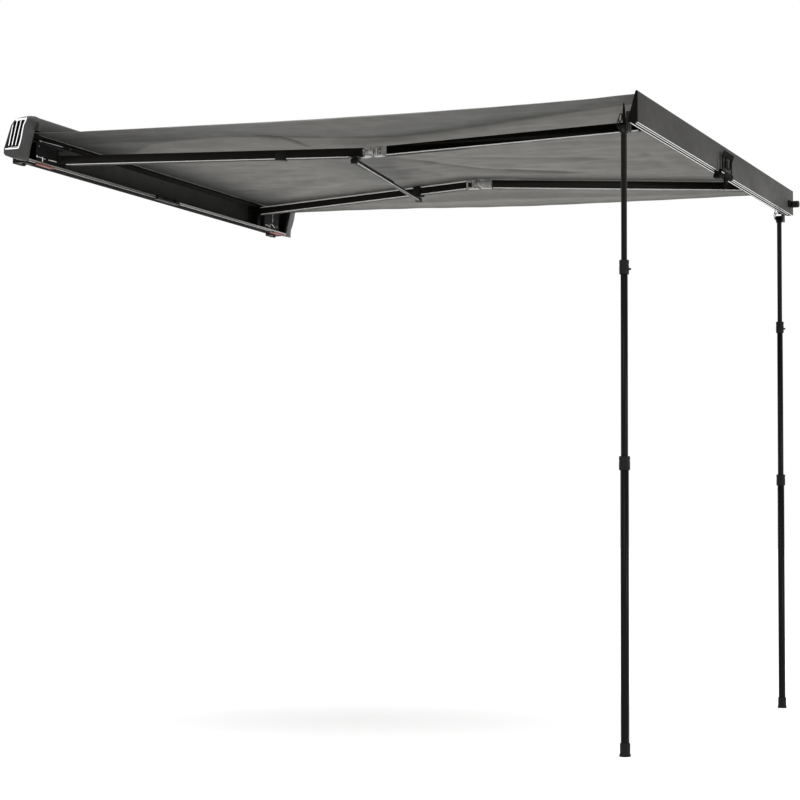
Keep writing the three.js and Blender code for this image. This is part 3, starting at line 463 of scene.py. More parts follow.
# ------------------------------------------------------------------ camera, light, floor
def stage_set():
    yaw, pitch, roll = 0.38433834, 0.05894696, 0.00374397
    fw = Vector((math.cos(yaw) * math.cos(pitch), math.sin(yaw) * math.cos(pitch), math.sin(pitch)))
    right = Vector((math.sin(yaw), -math.cos(yaw), 0))
    up = right.cross(fw)
    r = right * math.cos(roll) + up * math.sin(roll)
    u = -right * math.sin(roll) + up * math.cos(roll)
    cam = bpy.data.cameras.new("camera")
    cam.lens, cam.sensor_width, cam.sensor_fit, cam.clip_end = 102.983, 36.0, "HORIZONTAL", 200
    co = bpy.data.objects.new("camera", cam)
    bpy.context.scene.collection.objects.link(co)
    m = Matrix((r, u, -fw)).transposed().to_4x4()
    m.translation = Vector((-8.7697, -4.6945, -1.5015))
    co.matrix_world = m
    bpy.context.scene.camera = co
    w = bpy.data.worlds.new("studio")
    bpy.context.scene.world = w
    w.use_nodes = True
    nt = w.node_tree
    bg = nt.nodes["Background"]
    bg.inputs["Color"].default_value = (1, 1, 1, 1)
    bg.inputs["Strength"].default_value = 1.0
    for name, at, to, power, size in [
        ("key", (4.5, -9.5, 2.6), (0.2, -1.6, -0.2), 130, 2.0),
        ("under", (-4.0, -9.5, -1.7), (0.1, -1.2, 0.05), 110, 2.4),
        ("side", (-9.5, -2.0, 1.2), (0, -1.3, -0.1), 90, 2.5),
    ]:
        L = bpy.data.lights.new(name, "AREA")
        L.energy, L.shape, L.size = power, "SQUARE", size
        o = bpy.data.objects.new(name, L)
        bpy.context.scene.collection.objects.link(o)
        o.location = at
        o.rotation_euler = (Vector(to) - Vector(at)).to_track_quat("-Z", "Y").to_euler()
    S = bpy.data.lights.new("sky", "SUN")
    S.energy, S.angle = 1.3, math.radians(70)
    o = bpy.data.objects.new("sky", S)
    bpy.context.scene.collection.objects.link(o)
    o.rotation_euler = (math.radians(8), math.radians(6), 0)
    bm = bmesh.new()
    rings, n = [], 64
    for rad, z in [(0.0, 0), (12, 0), (30, 0), (60, 0), (95, 0), (130, 0)]:
        if rad == 0:
            rings.append([bm.verts.new((0, 0, z))])
        else:
            rings.append([bm.verts.new((rad * math.cos(2 * math.pi * i / n), rad * math.sin(2 * math.pi * i / n), z)) for i in range(n)])
    for a, b in zip(rings, rings[1:]):
        for i in range(n):
            j = (i + 1) % n
            bm.faces.new((a[0], b[i], b[j]) if len(a) == 1 else (a[i], b[i], b[j], a[j]))
    me = bpy.data.meshes.new("floor")
    bm.to_mesh(me)
    bm.free()
    o = bpy.data.objects.new("floor", me)
    bpy.context.scene.collection.objects.link(o)
    o.location.z = (FOOT_LOW - 0.4) * 0.001
    m = Mat("floor_pale", 0.9)
    m.color(m.ramp(m.noise(0.6, 3, 0.5), [(0.3, (0.975, 0.975, 0.972)), (0.7, (0.985, 0.985, 0.983))]))
    me.materials.append(m.m)
    vs = bpy.context.scene.view_settings
    vs.view_transform, vs.look, vs.exposure, vs.gamma = "Standard", "None", 0.0, 1.0


stage_set()


# ------------------------------------------------------------------ canopy
Y0, Y1 = -107.0, F + 8.5
YS = -108.5
V_NEAR = [0.0, 0.0516, 0.1386, 0.2238, 0.3075, 0.3899, 0.4706, 0.6283, 0.7805, 0.8546, 0.9278, 1.0]
Z_NEAR = [46.5, 43, 39, 34.5, 30, 25.5, 22, 18, 17.5, 18.5, 20.5, 24]
V_FAR = [0.0, 0.1369, 0.265, 0.3907, 0.5134, 0.6337, 0.7518, 0.9053, 1.0]
Z_FAR = [46.5, 45, 40, 31, 24, 21.5, 20.5, 21, 24]


def smoothstep(t):
    t = np.clip(t, 0, 1)
    return t * t * (3 - 2 * t)


def seg_dist(x, y, a, b):
    dx, dy = b[0] - a[0], b[1] - a[1]
    t = np.clip(((x - a[0]) * dx + (y - a[1]) * dy) / (dx * dx + dy * dy), 0, 1)
    return np.hypot(x - a[0] - dx * t, y - a[1] - dy * t), t


FAR_TOPS = []
zs_, zl_, zw_ = ARM_Z["far"]
ze_ = zl_ - TILT * (PIVOT_X - ELBOW_X)
for A_, B_, za_, zb_ in [((PIVOT_X, SHOULDER_Y), (ELBOW_X, ELBOW_Y), zs_, ze_), ((ELBOW_X, ELBOW_Y), (PIVOT_X, WRIST_Y), ze_, zw_)]:
    FAR_TOPS.append((A_, B_, za_, zb_))


def canopy_z(x, y, u, v):
    """Height of the cloth's middle at layout x, y; u runs -1..1 across, v 0..1 from case to rail."""
    chord = 46.5 + (29.6 - 46.5) * v
    base = chord - 17 * np.sin(np.pi * v) * (0.8 + 0.2 * u * u)
    near = np.interp(v, V_NEAR, Z_NEAR)
    far = np.interp(v, V_FAR, Z_FAR)
    wn = smoothstep((-u - 0.62) / 0.34)
    wf = smoothstep((u - 0.72) / 0.26)
    end = smoothstep((1 - v) / 0.03)
    z = base * (1 - wn - wf) + near * wn + far * wf
    z = z * end + (1 - end) * (29.6 - 7 * smoothstep((np.abs(u) - 0.93) / 0.07))
    need = z.copy()
    for A, B, za, zb in FAR_TOPS:
        d, t = seg_dist(x, y, A, B)
        top = za + (zb - za) * t + ARM_H + 6.5
        w = np.clip(1 - np.clip(d - 110, 0, None) / 330, 0, 1)
        ridge = top - 26 * (1 - w * w * (3 - 2 * w)) - 90 * smoothstep((d - 240) / 420)
        need = np.maximum(need, ridge)
    # soft join between the resting ridge and the free cloth
    k = 6.0
    soft = np.log(np.exp(np.clip((z - need) / k, -30, 0)) + 1) * k * 0.5
    z2 = need + soft * 0.35
    mask = smoothstep((v - 0.02) / 0.03) * smoothstep((0.99 - v) / 0.02)
    return z * (1 - mask) + z2 * mask


# long soft folds and painted shade bands: corner points in layout mm, half width, height, tone (a negative tone is
# painted shade along the line, a positive one painted light)
FOLDS = [
    ([(-1070, -363), (-1021, -554), (-996, -714), (-937, -898), (-859, -1072), (-811, -1260)], 100, 2.0, -0.05),
    ([(-781, -1226), (-720, -1325), (-710, -1425), (-767, -1571), (-842, -1760), (-912, -1922), (-980, -2080), (-1010, -2180)], 62, 4.0, -0.10),
    ([(-963, -1647), (-1039, -1871), (-1127, -2129), (-1185, -2369)], 47, -1.5, 0.12),
    ([(-801, -680), (-744, -805), (-691, -996), (-633, -1183)], 95, -2.0, 0.40),
    ([(-610, -1430), (-680, -1565), (-755, -1835), (-860, -2105), (-935, -2325)], 64, -3.0, 0.20),
    ([(-875, -919), (-808, -977), (-740, -997), (-641, -994), (-589, -1001)], 13, 6.0, -0.72),
    ([(-900, -890), (-850, -925), (-790, -960)], 22, 3.0, -0.45),
    ([(-135, -1272), (15, -1311), (149, -1372), (238, -1495), (352, -1723), (519, -1936)], 42, 4.0, -0.12),
    ([(-310, -1180), (-238, -1213), (-75, -1301), (43, -1367), (145, -1440), (256, -1578), (348, -1724), (520, -1935), (620, -2130)], 27, 7.0, -0.50),
    ([(16, -1154), (147, -1215), (280, -1235)], 32, 3.0, -0.28),
    ([(-178, -1362), (39, -1450), (122, -1548), (229, -1773), (373, -1990)], 36, -4.0, 0.14),
    ([(-20, -1844), (179, -2037), (374, -2237)], 62, 3.0, -0.18),
    ([(-214, -1356), (-98, -1615), (18, -1874), (150, -2130)], 30, 3.5, -0.14),
    ([(-268, -1420), (-167, -1639), (-56, -1898), (45, -2097)], 32, -2.0, 0.07),
    ([(692, -173), (426, -413), (213, -655), (134, -830)], 48, 5.0, -0.13),
    ([(672, -299), (439, -529), (290, -739), (187, -970)], 52, -4.0, 0.10),
    ([(248, -277), (5, -500), (-83, -718)], 44, 3.0, -0.10),
    ([(420, -220), (180, -420), (60, -640)], 44, -2.5, 0.07),
    ([(-95, -2200), (152, -2171), (476, -2158)], 20, 3.0, -0.20),
    ([(-81, -2237), (173, -2224), (471, -2219)], 18, -2.0, 0.12),
    ([(-40, -2290), (160, -2290), (520, -2280)], 20, 2.5, -0.14),
    ([(827, -1287), (907, -1542), (1047, -1872), (1155, -2119)], 47, -2.5, 0.10),
    ([(-640, -150), (-420, -420), (-250, -760)], 48, -2.6, 0.06),
    ([(-420, -1800), (-330, -2100), (-200, -2420)], 42, 2.6, -0.08), ([(-640, -2440), (-520, -2200), (-380, -1900)], 36, -2.2, 0.05),
    ([(1180, -2380), (1080, -1940), (980, -1500)], 34, 2.6, -0.06), ([(900, -2440), (800, -2020), (700, -1600)], 40, 3.2, -0.08),
    ([(1140, -300), (1060, -650), (960, -1000)], 34, 2.6, -0.08), ([(120, -150), (150, -400), (160, -640)], 46, -2.0, 0.04),
    # these three are painted shade and painted light only, with no height
    ([(-560, -900), (-380, -960), (-150, -1010), (120, -1010), (420, -940)], 150, 0.0, -0.36),
    ([(1120, -500), (1010, -1150), (960, -1500), (1120, -2100)], 150, 0.0, 0.14),
    ([(-480, -1230), (-330, -1150), (-60, -1110), (240, -1050), (520, -1000)], 70, 0.0, -0.34),
]
# inner side of the near hem band: y, x
HEM_LINE = [(-2520, -1052), (-2381, -1005), (-2139, -926), (-1873, -828), (-1640, -735), (-1410, -673), (-1295, -697), (-1151, -752), (-950, -824), (-795, -884),
            (-680, -888), (-567, -878), (-400, -800), (-107, -500)]
# painted shade by v: along the near hem band, and darkening towards the case
BAND_V = [0.0, 0.05, 0.062, 0.084, 0.125, 0.174, 0.24, 0.30, 0.37, 0.48, 0.63, 0.76, 0.86, 0.96, 1.0]
HEM_SHADE = [0.10, 0.13, 0.18, 0.22, 0.27, 0.36, 0.46, 0.50, 0.56, 0.64, 0.56, 0.45, 0.42, 0.52, 0.60]
CASE_V = [0.0, 0.02, 0.05, 0.08, 0.12, 0.17, 0.24]
CASE_SHADE = [0.14, 0.22, 0.44, 0.70, 0.88, 0.96, 1.0]


def fold_reach(X, Y, pts, w):
    """Gaussian of the distance to a line of points, fading towards both its ends."""
    total = sum(math.dist(a, b) for a, b in zip(pts, pts[1:]))
    best = np.full(X.shape, 1e9)
    along = np.zeros(X.shape)
    done = 0.0
    for a, b in zip(pts, pts[1:]):
        d, t = seg_dist(X, Y, a, b)
        hit = d < best
        best = np.where(hit, d, best)
        along = np.where(hit, (done + t * math.dist(a, b)) / total, along)
        done += math.dist(a, b)
    return np.exp(-((best / w) ** 2)) * smoothstep(along / 0.22 + 0.12) * smoothstep((1 - along) / 0.22 + 0.12)


def canopy():
    n_u, n_v = ((176, 216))
    v = np.linspace(0, 1, n_v + 1) ** 1.0
    # columns: a 34 mm band along each hem, then even columns between
    hem = 34.0
    hv = np.array([0, 3, 7, 11, 16, 22, 28, 34.0])
    s = np.concatenate([hv, np.linspace(34, 100, 7)[1:]])
    inner = np.linspace(0, 1, n_u)[1:-1]
    cols = [("n", a) for a in s] + [("m", a) for a in inner] + [("f", a) for a in s[::-1]]
    H = 1172 + (1226 - 1172) * v
    y = YS + 3.4 * (1 - v) ** 12 * 0 + (Y1 - YS) * v
    y[0] = Y0
    X = np.zeros((n_v + 1, len(cols)))
    Z = np.zeros_like(X)
    U = np.zeros_like(X)
    V = np.repeat(v[:, None], len(cols), 1)
    Yg = np.repeat(y[:, None], len(cols), 1)
    drop = np.interp(v, [0, 0.04, 0.2, 0.5, 0.9, 1], [2, 5, 9, 11, 8, 5])
    drop_f = np.interp(v, [0, 0.1, 0.4, 1], [2, 5, 6, 4])
    bands = []
    for i, (k, a) in enumerate(cols):
        if k == "m":
            X[:, i] = (-H + 100) + (2 * H - 200) * a
            U[:, i] = 100 / 1000 + 2.19 * a
        elif k == "n":
            X[:, i] = -H + np.maximum(a, 0)
            U[:, i] = a / 1000
        else:
            X[:, i] = H - a
            U[:, i] = 2.39 - a / 1000
    uu = np.clip(X / (H[:, None]), -1, 1)
    Z = canopy_z(X, Yg, uu, V)
    # folds, kept low beside the arms, hems and both ends
    lift = np.zeros_like(Z)
    # painted shade: the near hem band darker towards its inner edge, and the cloth darker towards the case
    hem_x = np.interp(Yg, [a[0] for a in HEM_LINE], [a[1] for a in HEM_LINE])
    d = X - hem_x
    inside = smoothstep((d + 16) / 26)
    band = np.interp(V, BAND_V, HEM_SHADE) * (1 - 0.36 * np.exp(np.clip(d, -900, 0) / 62) * smoothstep((V - 0.2) / 0.1))
    tone = inside * np.interp(V, CASE_V, CASE_SHADE) + (1 - inside) * band
    lift += 3.0 * np.exp(-((d + 24) / 40) ** 2) * smoothstep((V - 0.2) / 0.1) * smoothstep((0.93 - V) / 0.12)
    # painted shadow of the far arm's two links on the cloth beside them, stronger on their inner side
    for k, (A, B_, _, _) in enumerate(FAR_TOPS):
        da, _t = seg_dist(X, Yg, A, B_)
        side = (X - A[0]) * (B_[1] - A[1]) - (Yg - A[1]) * (B_[0] - A[0])
        inner = 1 / (1 + np.exp(np.clip(-side * (1 if A[0] > B_[0] else 1) / 4e3, -30, 30)))
        tone *= 1 - (0.16 + (0.40 if k == 0 else 0.26) * inner) * np.exp(-((da / 72) ** 2))
    # each fold lifts the cloth by its height and multiplies its tone in as painted shade or painted light
    for pts, w, h, dt in FOLDS:
        g = fold_reach(X, Yg, pts, w)
        lift += h * g
        tone *= 1 + dt * g
    ph = rng.uniform(0, 6.28, 10)
    for i, (lx, ly, amp) in enumerate([(310, 1500, 1.0), (170, 900, 0.8), (97, 760, 0.55), (61, 520, 0.32), (240, 330, 0.7), (128, 210, 0.3)]):
        wob = 0.5 * np.sin(Yg / 430 + ph[i]) + 0.35 * np.sin(Yg / 190 + ph[i] * 2)
        lift += amp * np.sin(2 * np.pi * X / lx + wob * 2 + ph[i]) * (0.6 + 0.4 * np.sin(2 * np.pi * Yg / ly + ph[-1 - i]))
    ends = smoothstep(V / 0.05) * smoothstep((1 - V) / 0.04)
    near_far = np.ones_like(Z)
    for A, B, _, _ in FAR_TOPS:
        d, _t = seg_dist(X, Yg, A, B)
        near_far = np.minimum(near_far, 0.25 + 0.75 * smoothstep((d - 30) / 60))
    Z += lift * ends * near_far * (0.25 + 0.75 * smoothstep((H[:, None] - np.abs(X)) / 110))
    # small gathers where the cloth leaves the roller and where it enters the rail
    Z += 0.9 * np.sin(X / 21 + 1.3 * np.sin(X / 77)) * np.exp(-V / 0.03) * smoothstep(V / 0.012)
    Z += 0.7 * np.sin(X / 17 + 1.1 * np.sin(X / 61)) * np.exp(-(1 - V) / 0.02) * smoothstep((1 - V) / 0.006)
    # each hem band turns down over the tensioned edge
    for key, dr, sign in (("n", drop, 1), ("f", drop_f, -1)):
        idx = [i for i, (k, _) in enumerate(cols) if k == key]
        idx = idx if key == "n" else idx[::-1]
        a = np.array([cols[i][1] for i in idx])
        ang_max = np.arcsin(np.clip(dr / hem, -1, 0.995))
        j0 = idx[len(hv) - 1]
        bx, bz = X[:, j0].copy(), Z[:, j0].copy()
        px, pz, last = bx, bz, hem
        for q in range(len(hv) - 2, -1, -1):
            step = last - hv[q]
            mid = (last + hv[q]) / 2
            ang = ang_max * smoothstep((hem + 2 - mid) / 11)
            px = px - sign * step * np.cos(ang)
            pz = pz - step * np.sin(ang)
            X[:, idx[q]], Z[:, idx[q]] = px, pz + 0.5 * np.sin(Yg[:, 0] / 33 + q * 0.2) * (hem - hv[q]) / hem
            last = hv[q]
    # the stretch from under the lip back to the roller
    pre = [(1.0, -64.0, 51.1), (0.72, -76.0, 49.9), (0.36, -92.0, 48.2)]
    X = np.vstack([X[:1] * (1 - 0.006 * k) for k, _, _ in pre] + [X])
    Z = np.vstack([Z[:1] + (z_ - 46.5) for _, _, z_ in pre] + [Z])
    Yg = np.vstack([np.full_like(Yg[:1], y_) for _, y_, _ in pre] + [Yg])
    V = np.vstack([np.full_like(V[:1], (y_ - YS) / 2410 * -1.0) for _, y_, _ in pre] + [V])
    U = np.vstack([U[:1]] * 3 + [U])
    # the stretch under the lip is painted a further 20 % darker as shade
    tone = np.vstack([tone[:1] * 0.8] * 3 + [tone])
    n_v += 3
    verts = [(X[j, i] * 0.001, (Yg[j, i] + SY) * 0.001, Z[j, i] * 0.001) for j in range(n_v + 1) for i in range(len(cols))]
    W = len(cols)
    faces = [(j * W + i, j * W + i + 1, (j + 1) * W + i + 1, (j + 1) * W + i) for j in range(n_v) for i in range(W - 1)]
    me = bpy.data.meshes.new("canopy_sheet")
    me.from_pydata(verts, [], faces)
    uv = me.uv_layers.new(name="cut")
    li = np.zeros(len(me.loops), dtype=np.int64)
    me.loops.foreach_get("vertex_index", li)
    uvs = np.stack([U.ravel()[li], (V * 2.41).ravel()[li]], 1).astype(np.float32)
    uv.data.foreach_set("uv", uvs.ravel())
    # tone carries the painted shade and painted light into the cloth's colour
    me.attributes.new("tone", "FLOAT", "POINT").data.foreach_set("value", tone.ravel().astype(np.float32))
    o = new_obj("canopy_sheet", me, "case", ["over", "under"], replaces="canopy", limit=180)
    for p in me.polygons:
        p.use_smooth = True
    # faces were laid so that their normals point down; the cloth has its own thickness
    nz = sum(me.polygons[k].normal.z for k in range(0, len(me.polygons), 97))
    if nz < 0:
        me.flip_normals()
    sol = o.modifiers.new("cloth", "SOLIDIFY")
    sol.thickness, sol.offset, sol.material_offset, sol.material_offset_rim = 0.0009, -1.0, 1, 0
    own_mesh(o)
    return o


canopy()

# ------------------------------------------------------------------ every metal and plastic node, with softened edges
FINISH = {
    "case_shell": ("shell", 0.5, 20, "shell"), "end_cap_near": ("cap", 1.2, 32, "cap"), "end_cap_far": ("cap", 1.2, 32, "cap"),
    "guide_strip": ("shade", 0.3, 30, "silver"), "lip_strip_near": ("silver", 0.4, 30, "silver"), "lip_strip_far": ("silver", 0.4, 30, "silver"),
    # the roller has no tone attribute, so the cloth material multiplies its colour to black: painted shade inside the
    # case
    "lip_keeper": ("black", 0.6, 30, "black"), "cloth_roller": ("under", 0, 30, "drum"),
    "mount_bracket_near": ("iron", 0.8, 30, "black"), "mount_bracket_far": ("iron", 0.8, 30, "black"),
    "shoulder_bracket_near": ("slot", 0.6, 30, "steel"), "shoulder_bracket_far": ("slot", 0.6, 30, "steel"),
    "shoulder_pin_near": ("iron", 0.5, 30, "steel"), "shoulder_pin_far": ("iron", 0.5, 30, "steel"),
    "release_tab_near": ("red", 0.9, 30, "red"), "release_tab_far": ("red", 0.9, 30, "red"),
    "rafter_clip": ("black", 0.5, 30, "black"), "rafter_jaw": ("black", 0.5, 30, "black"), "rafter_bracket": ("iron", 0.5, 30, "black"),
    "rafter_outer": ("arm", 0.7, 30, "arm"), "rafter_inner": ("arm", 0.5, 30, "silver"), "rafter_tip": ("black", 0.6, 30, "black"),
    "lead_rail": ("rail", 0.6, 30, "rail"), "rail_cap_near": ("ink", 0.5, 30, "black"), "rail_cap_far": ("ink", 0.5, 30, "black"),
    "handle_latch": ("ink", 0.6, 30, "black"), "pull_handle": ("ink", 0.6, 30, "arm"), "rail_knob": ("black", 0.8, 30, "black"),
}
for s_ in ("near", "far"):
    FINISH.update({
        "rear_arm_" + s_: ("arm", 1.2, 30, "arm"), "front_arm_" + s_: ("arm", 1.2, 30, "arm"),
        "elbow_rear_" + s_: ("cast", 1.6, 30, "silver"), "elbow_front_" + s_: ("cast", 1.6, 30, "silver"), "elbow_pin_" + s_: ("zinc", 0.5, 30, "steel"),
        "wrist_bracket_" + s_: ("iron", 0.5, 30, "black"), "leg_bolt_" + s_: ("iron", 0.3, 30, "steel"),
        "leg_upper_" + s_: ("tube", 0.4, 30, "tube"), "leg_mid_" + s_: ("tube", 0.4, 30, "tube"), "leg_lower_" + s_: ("tube", 0.4, 30, "tube"),
        "leg_clamp_upper_" + s_: ("black", 0.5, 30, "black"), "leg_clamp_lower_" + s_: ("black", 0.5, 30, "black"), "leg_foot_" + s_: ("rubber", 0.6, 30, "rubber"),
    })
DONE = {}
for n_, (mat_, bev_, lim_, slot_) in FINISH.items():
    DONE[n_] = refine(n_, mat_, bev_, 2, lim_)


def paint_faces(o, rules):
    """rules: (material, test) with test(list of a face's corners in layout mm, its normal)."""
    me = o.data
    slots = {}
    for k, test in rules:
        if k not in slots:
            me.materials.append(M[k])
            slots[k] = len(me.materials) - 1
    co = [(v.co.x * 1000, v.co.y * 1000 - SY, v.co.z * 1000) for v in me.vertices]
    for f in me.polygons:
        c = [co[i] for i in f.vertices]
        for k, test in rules:
            if test(c, f.normal):
                f.material_index = slots[k]
                break


def within(p, poly):
    inside = False
    for (x0, y0), (x1, y1) in zip(poly, poly[1:] + poly[:1]):
        if (y0 > p[1]) != (y1 > p[1]) and p[0] < x0 + (p[1] - y0) * (x1 - x0) / (y1 - y0):
            inside = not inside
    return inside


def mid(c, k):
    return sum(p[k] for p in c) / len(c)


# case: inside painted darker as shade, lighter hood, underside painted as shade; end caps: white ribs in black slots,
# dark pocket painted as shade
paint_faces(DONE["case_shell"], [
    ("bay", lambda c, n: max(abs(p[0]) for p in c) < 1179.6 + 1 and all(-111.5 < p[1] < -2.7 and -59.1 < p[2] < 102.1 for p in c) and (n.z < 0.2 or mid(c, 2) < 50)),
    ("hood", lambda c, n: min(p[2] for p in c) > 35),
    ("shade", lambda c, n: n.z < -0.5 and mid(c, 2) < -58),
])
RIBS = [(-21, -41), (-35.5, -57), (-51, -74)]
POCKET = [(-58, -58.5), (-27, -53.5), (-9.5, -47), (-4.5, -39), (-5, -24), (-33.5, 62), (-46.5, 78.5), (-58, 85.5), (-72, 89), (-88, 89.5), (-96.5, 87.3),
          (-91.5, 78), (-82.5, 61), (-77.5, 40), (-72.5, 12), (-66.5, -8), (-59.5, -26)]


for s_, sg in (("near", -1), ("far", 1)):
    paint_faces(DONE["end_cap_" + s_], [
        ("slot", lambda c, n: min(abs(p[0]) for p in c) > 1240.5 and max(abs(p[0]) for p in c) < 1249.2),
        ("bay", lambda c, n: max(abs(p[0]) for p in c) < 1236.6 and min(abs(p[0]) for p in c) > 1179 and within((mid(c, 1), mid(c, 2)), POCKET)),
    ])
    x = sg * 1250.1
    # white rim and rib lines: light trim painted white, with their highlight painted into that white
    rim = [(x, y, z) for y, z in [(-99.5, 92.6), (-96.5, 82), (-86.2, 62), (-81.2, 40), (-76.2, 13), (-70, -8), (-64.5, -24), (-60, -25.5), (-6, -25.5)]]
    swept("rim_line_" + s_, rim, 1, "case", "rib", flat=(4.4, 1.0, (1, 0, 0)), limit=40)
    for i, (b_, t_) in enumerate(RIBS):
        swept(f"rib_line_{i}_{s_}", [(sg * 1248.8, b_, -13), (sg * 1248.8, t_, 78), (sg * 1248.8, t_ - 4.6, 90)], 1, "case", "rib", flat=(3.4, 0.9, (1, 0, 0)), limit=40)
    # painted highlight along the slots' lower lip
    swept("slot_lip_highlight_" + s_, [(sg * 1241.1, -13, -18.5), (sg * 1241.1, -58, -18.5)], 1, "case", "rib", flat=(2.2, 0.8, (1, 0, 0)), limit=40)
    lo_, hi_ = sorted((sg * 1241.3, sg * 1249.2))
    # painted highlight: a white plate over the top of the slots stands for the glare on the cap's top
    prism("cap_glare_plate_" + s_, [(-47.5, 82), (-56, 87.2), (-70, 90.6), (-88, 91.6), (-95.5, 90.6), (-97.2, 87), (-94.6, 83), (-72, 84), (-60, 81)], "X", lo_, hi_, "case", "rib", bevel=0.5)
    # plate that closes the hood's end around the roller
    lo_, hi_ = sorted((sg * 1176.4, sg * 1179.4))
    hood_end = [(-105.8, 50.7), (-108.6, 70), (-109.5, 87.3), (-107.6, 94.4), (-101.9, 99.4), (-90.8, 101.5), (-74.7, 100.5), (-57.2, 96.2), (-38.9, 87), (-23, 73.7), (-10.4, 55.4), (-10.4, 50.7)]
    prism("hood_end_" + s_, hood_end, "X", lo_, hi_, "case", "cap", holes=[[(-66 + 9 * math.cos(k * math.pi / 12), 69.5 + 9 * math.sin(k * math.pi / 12)) for k in range(24)]], limit=30)
    # bulkhead that closes the corner between shell and cap
    lo_, hi_ = sorted((sg * 1180.2, sg * 1183.2))
    prism("bulkhead_" + s_, [(-0.6, -40), (-0.6, 35), (-6.5, 55), (-20.5, 75), (-37, 89), (-40, 70), (-22, 24), (-14, -10), (-14, -50), (-6, -50)], "X", lo_, hi_, "case", "bay", limit=30)

# lip under the case: a dark groove along its strip; a thin flange on the guide strip with a dull bead along it
for nm, x0, x1 in (("near", -1178, -142), ("far", 64, 1178)):
    swept("strip_groove_" + nm, [(x0, -70.0, -61.6), (x1, -70.0, -61.6)], 1, "case", "slot", flat=(2.6, 0.5, (0, 1, 0)), limit=40)
swept("guide_lip", [(-1176, -64.4, 47.9), (1176, -64.4, 47.9)], 1, "case", "shade", flat=(11.5, 0.9, (0, 0, 1)), limit=40)
swept("guide_bead", [(-1110, -70.2, 47.5), (1165, -70.2, 47.5)], 1.1, "case", "dull", sides=8)

# underside of the lead rail: fine bright lines on both lips and a rib down the groove
for i, y in enumerate((2.9, 29.0)):
    swept(f"rail_line_{i}", [(-1233, F + y, B - 0.15), (1233, F + y, B - 0.15)], 1, "rail", "bright", flat=(4.0, 0.5, (0, 0, 1)), limit=40)
for nm, x0, x1 in (("near", -1204, -106), ("far", 98, 1204)):
    swept("rail_rib_" + nm, [(x0, F + 16.6, B + 4.7), (x1, F + 16.6, B + 4.7)], 1, "rail", "bright", flat=(3.4, 9.0, (0, 0, 1)), limit=40)

# lead rail: dark lips either side of the groove, black groove and top
paint_faces(DONE["lead_rail"], [
    ("slot", lambda c, n: all(F + 9 < p[1] < F + 26 and B + 0.3 < p[2] < B + 10 for p in c) or (all(F + 12.5 < p[1] < F + 22.5 for p in c) and mid(c, 2) < B + 10)),
    ("shade", lambda c, n: n.z < -0.8 and mid(c, 2) < B + 1),
    ("black", lambda c, n: n.z > 0.8 and mid(c, 2) > T - 2),
])


# pull handle: inner loop painted as the handle's shadow, pad and hooks of the latch; plate behind the knob
loop = smooth_path([(-33, F - 11.5, -16), (-33, F - 9.4, -34), (-27, F - 8.4, -55), (38, F - 8.4, -55), (44, F - 9.4, -34), (44, F - 11.5, -16)], 5)
# painted shadow: a dark wire loop where the handle's bars cast their shadow on the rail
swept("handle_shadow_loop", loop + [loop[0]], 2.9, "handle", "ink", sides=8)
prism("handle_pad", fillet([(-24, -60), (2, -60), (2, -28), (-24, -28)], 4), "Y", F - 10.4, F - 6.6, "handle", "ink", bevel=0.8)
# painted shadow: a dark plate for the handle's soft shadow on the rail's face
prism("handle_shadow_plate", fillet([(-120, -78), (-100, -78), (-100, -30), (-120, -30)], 6), "Y", F - 1.2, F - 0.2, "rail", "shell", bevel=0.4)
for i, x in enumerate((18, 46)):
    swept(f"latch_hook_{i}", smooth_path([(x, F + 6, B - 6), (x, F + 6, B - 28), (x + 2, F + 1, B - 44), (x + 6, F - 6, B - 43), (x + 6, F - 8, B - 34)], 5), 2.8, "rail", "ink", sides=8)
# painted glint: a bright bar below the latch block
swept("latch_glint", [(-96, F - 9.5, B - 3), (-58, F - 9.5, B - 3)], 1.6, "rail", "bright", sides=8)
prism("knob_plate", fillet([(1136, -51), (1196, -51), (1196, -23), (1136, -23)], 9), "Y", F - 5.4, F - 0.2, "rail", "ink", bevel=0.8)
for s_, sg in (("near", -1), ("far", 1)):
    xl = sg * 1212.7
    box_ = [(xl - 21, -109), (xl + 21, -109), (xl + 21, -40), (xl - 21, -40)]
    bore = [(xl + 5.4 * math.cos(k * math.pi / 12), -92 + 5.4 * math.sin(k * math.pi / 12)) for k in range(24)]
    prism("leg_bracket_plate_" + s_, box_, "Y", F + 35.9, F + 43.2, "rail", "black", holes=[bore], bevel=0.7, replaces="leg_bracket_" + s_)
    prism("leg_bracket_wedge_" + s_, [(F + 25.2, -40.2), (F + 35.9, -40.2), (F + 35.9, -76), (F + 34.9, -76)], "X", xl - 20.5, xl + 20.5, "rail", "black", limit=30)
    lo_, hi_ = sorted((sg * 1209.6, sg * 1215.6))
    blade = [(F + 41, -74), (F + 61.5, -74), (F + 62.4, -60), (F + 60.4, -30), (F + 58.4, -6), (F + 55.6, -6), (F + 52.6, -30), (F + 50.4, -60), (F + 49, -64), (F + 41, -64)]
    prism("leg_blade_" + s_, blade, "X", lo_, hi_, "rail", "ink", bevel=0.6)
    ring = [(sg * 1212.7, F + 69.6 + 5.2 * math.cos(k * math.pi / 12) - 2.4 * math.sin(k * math.pi / 12), -58.5 + 15.5 * math.sin(k * math.pi / 12)) for k in range(24)]
    swept("leg_ring_" + s_, ring, 1.7, BODY["leg_bolt_" + s_], "ink", sides=8, closed=True)


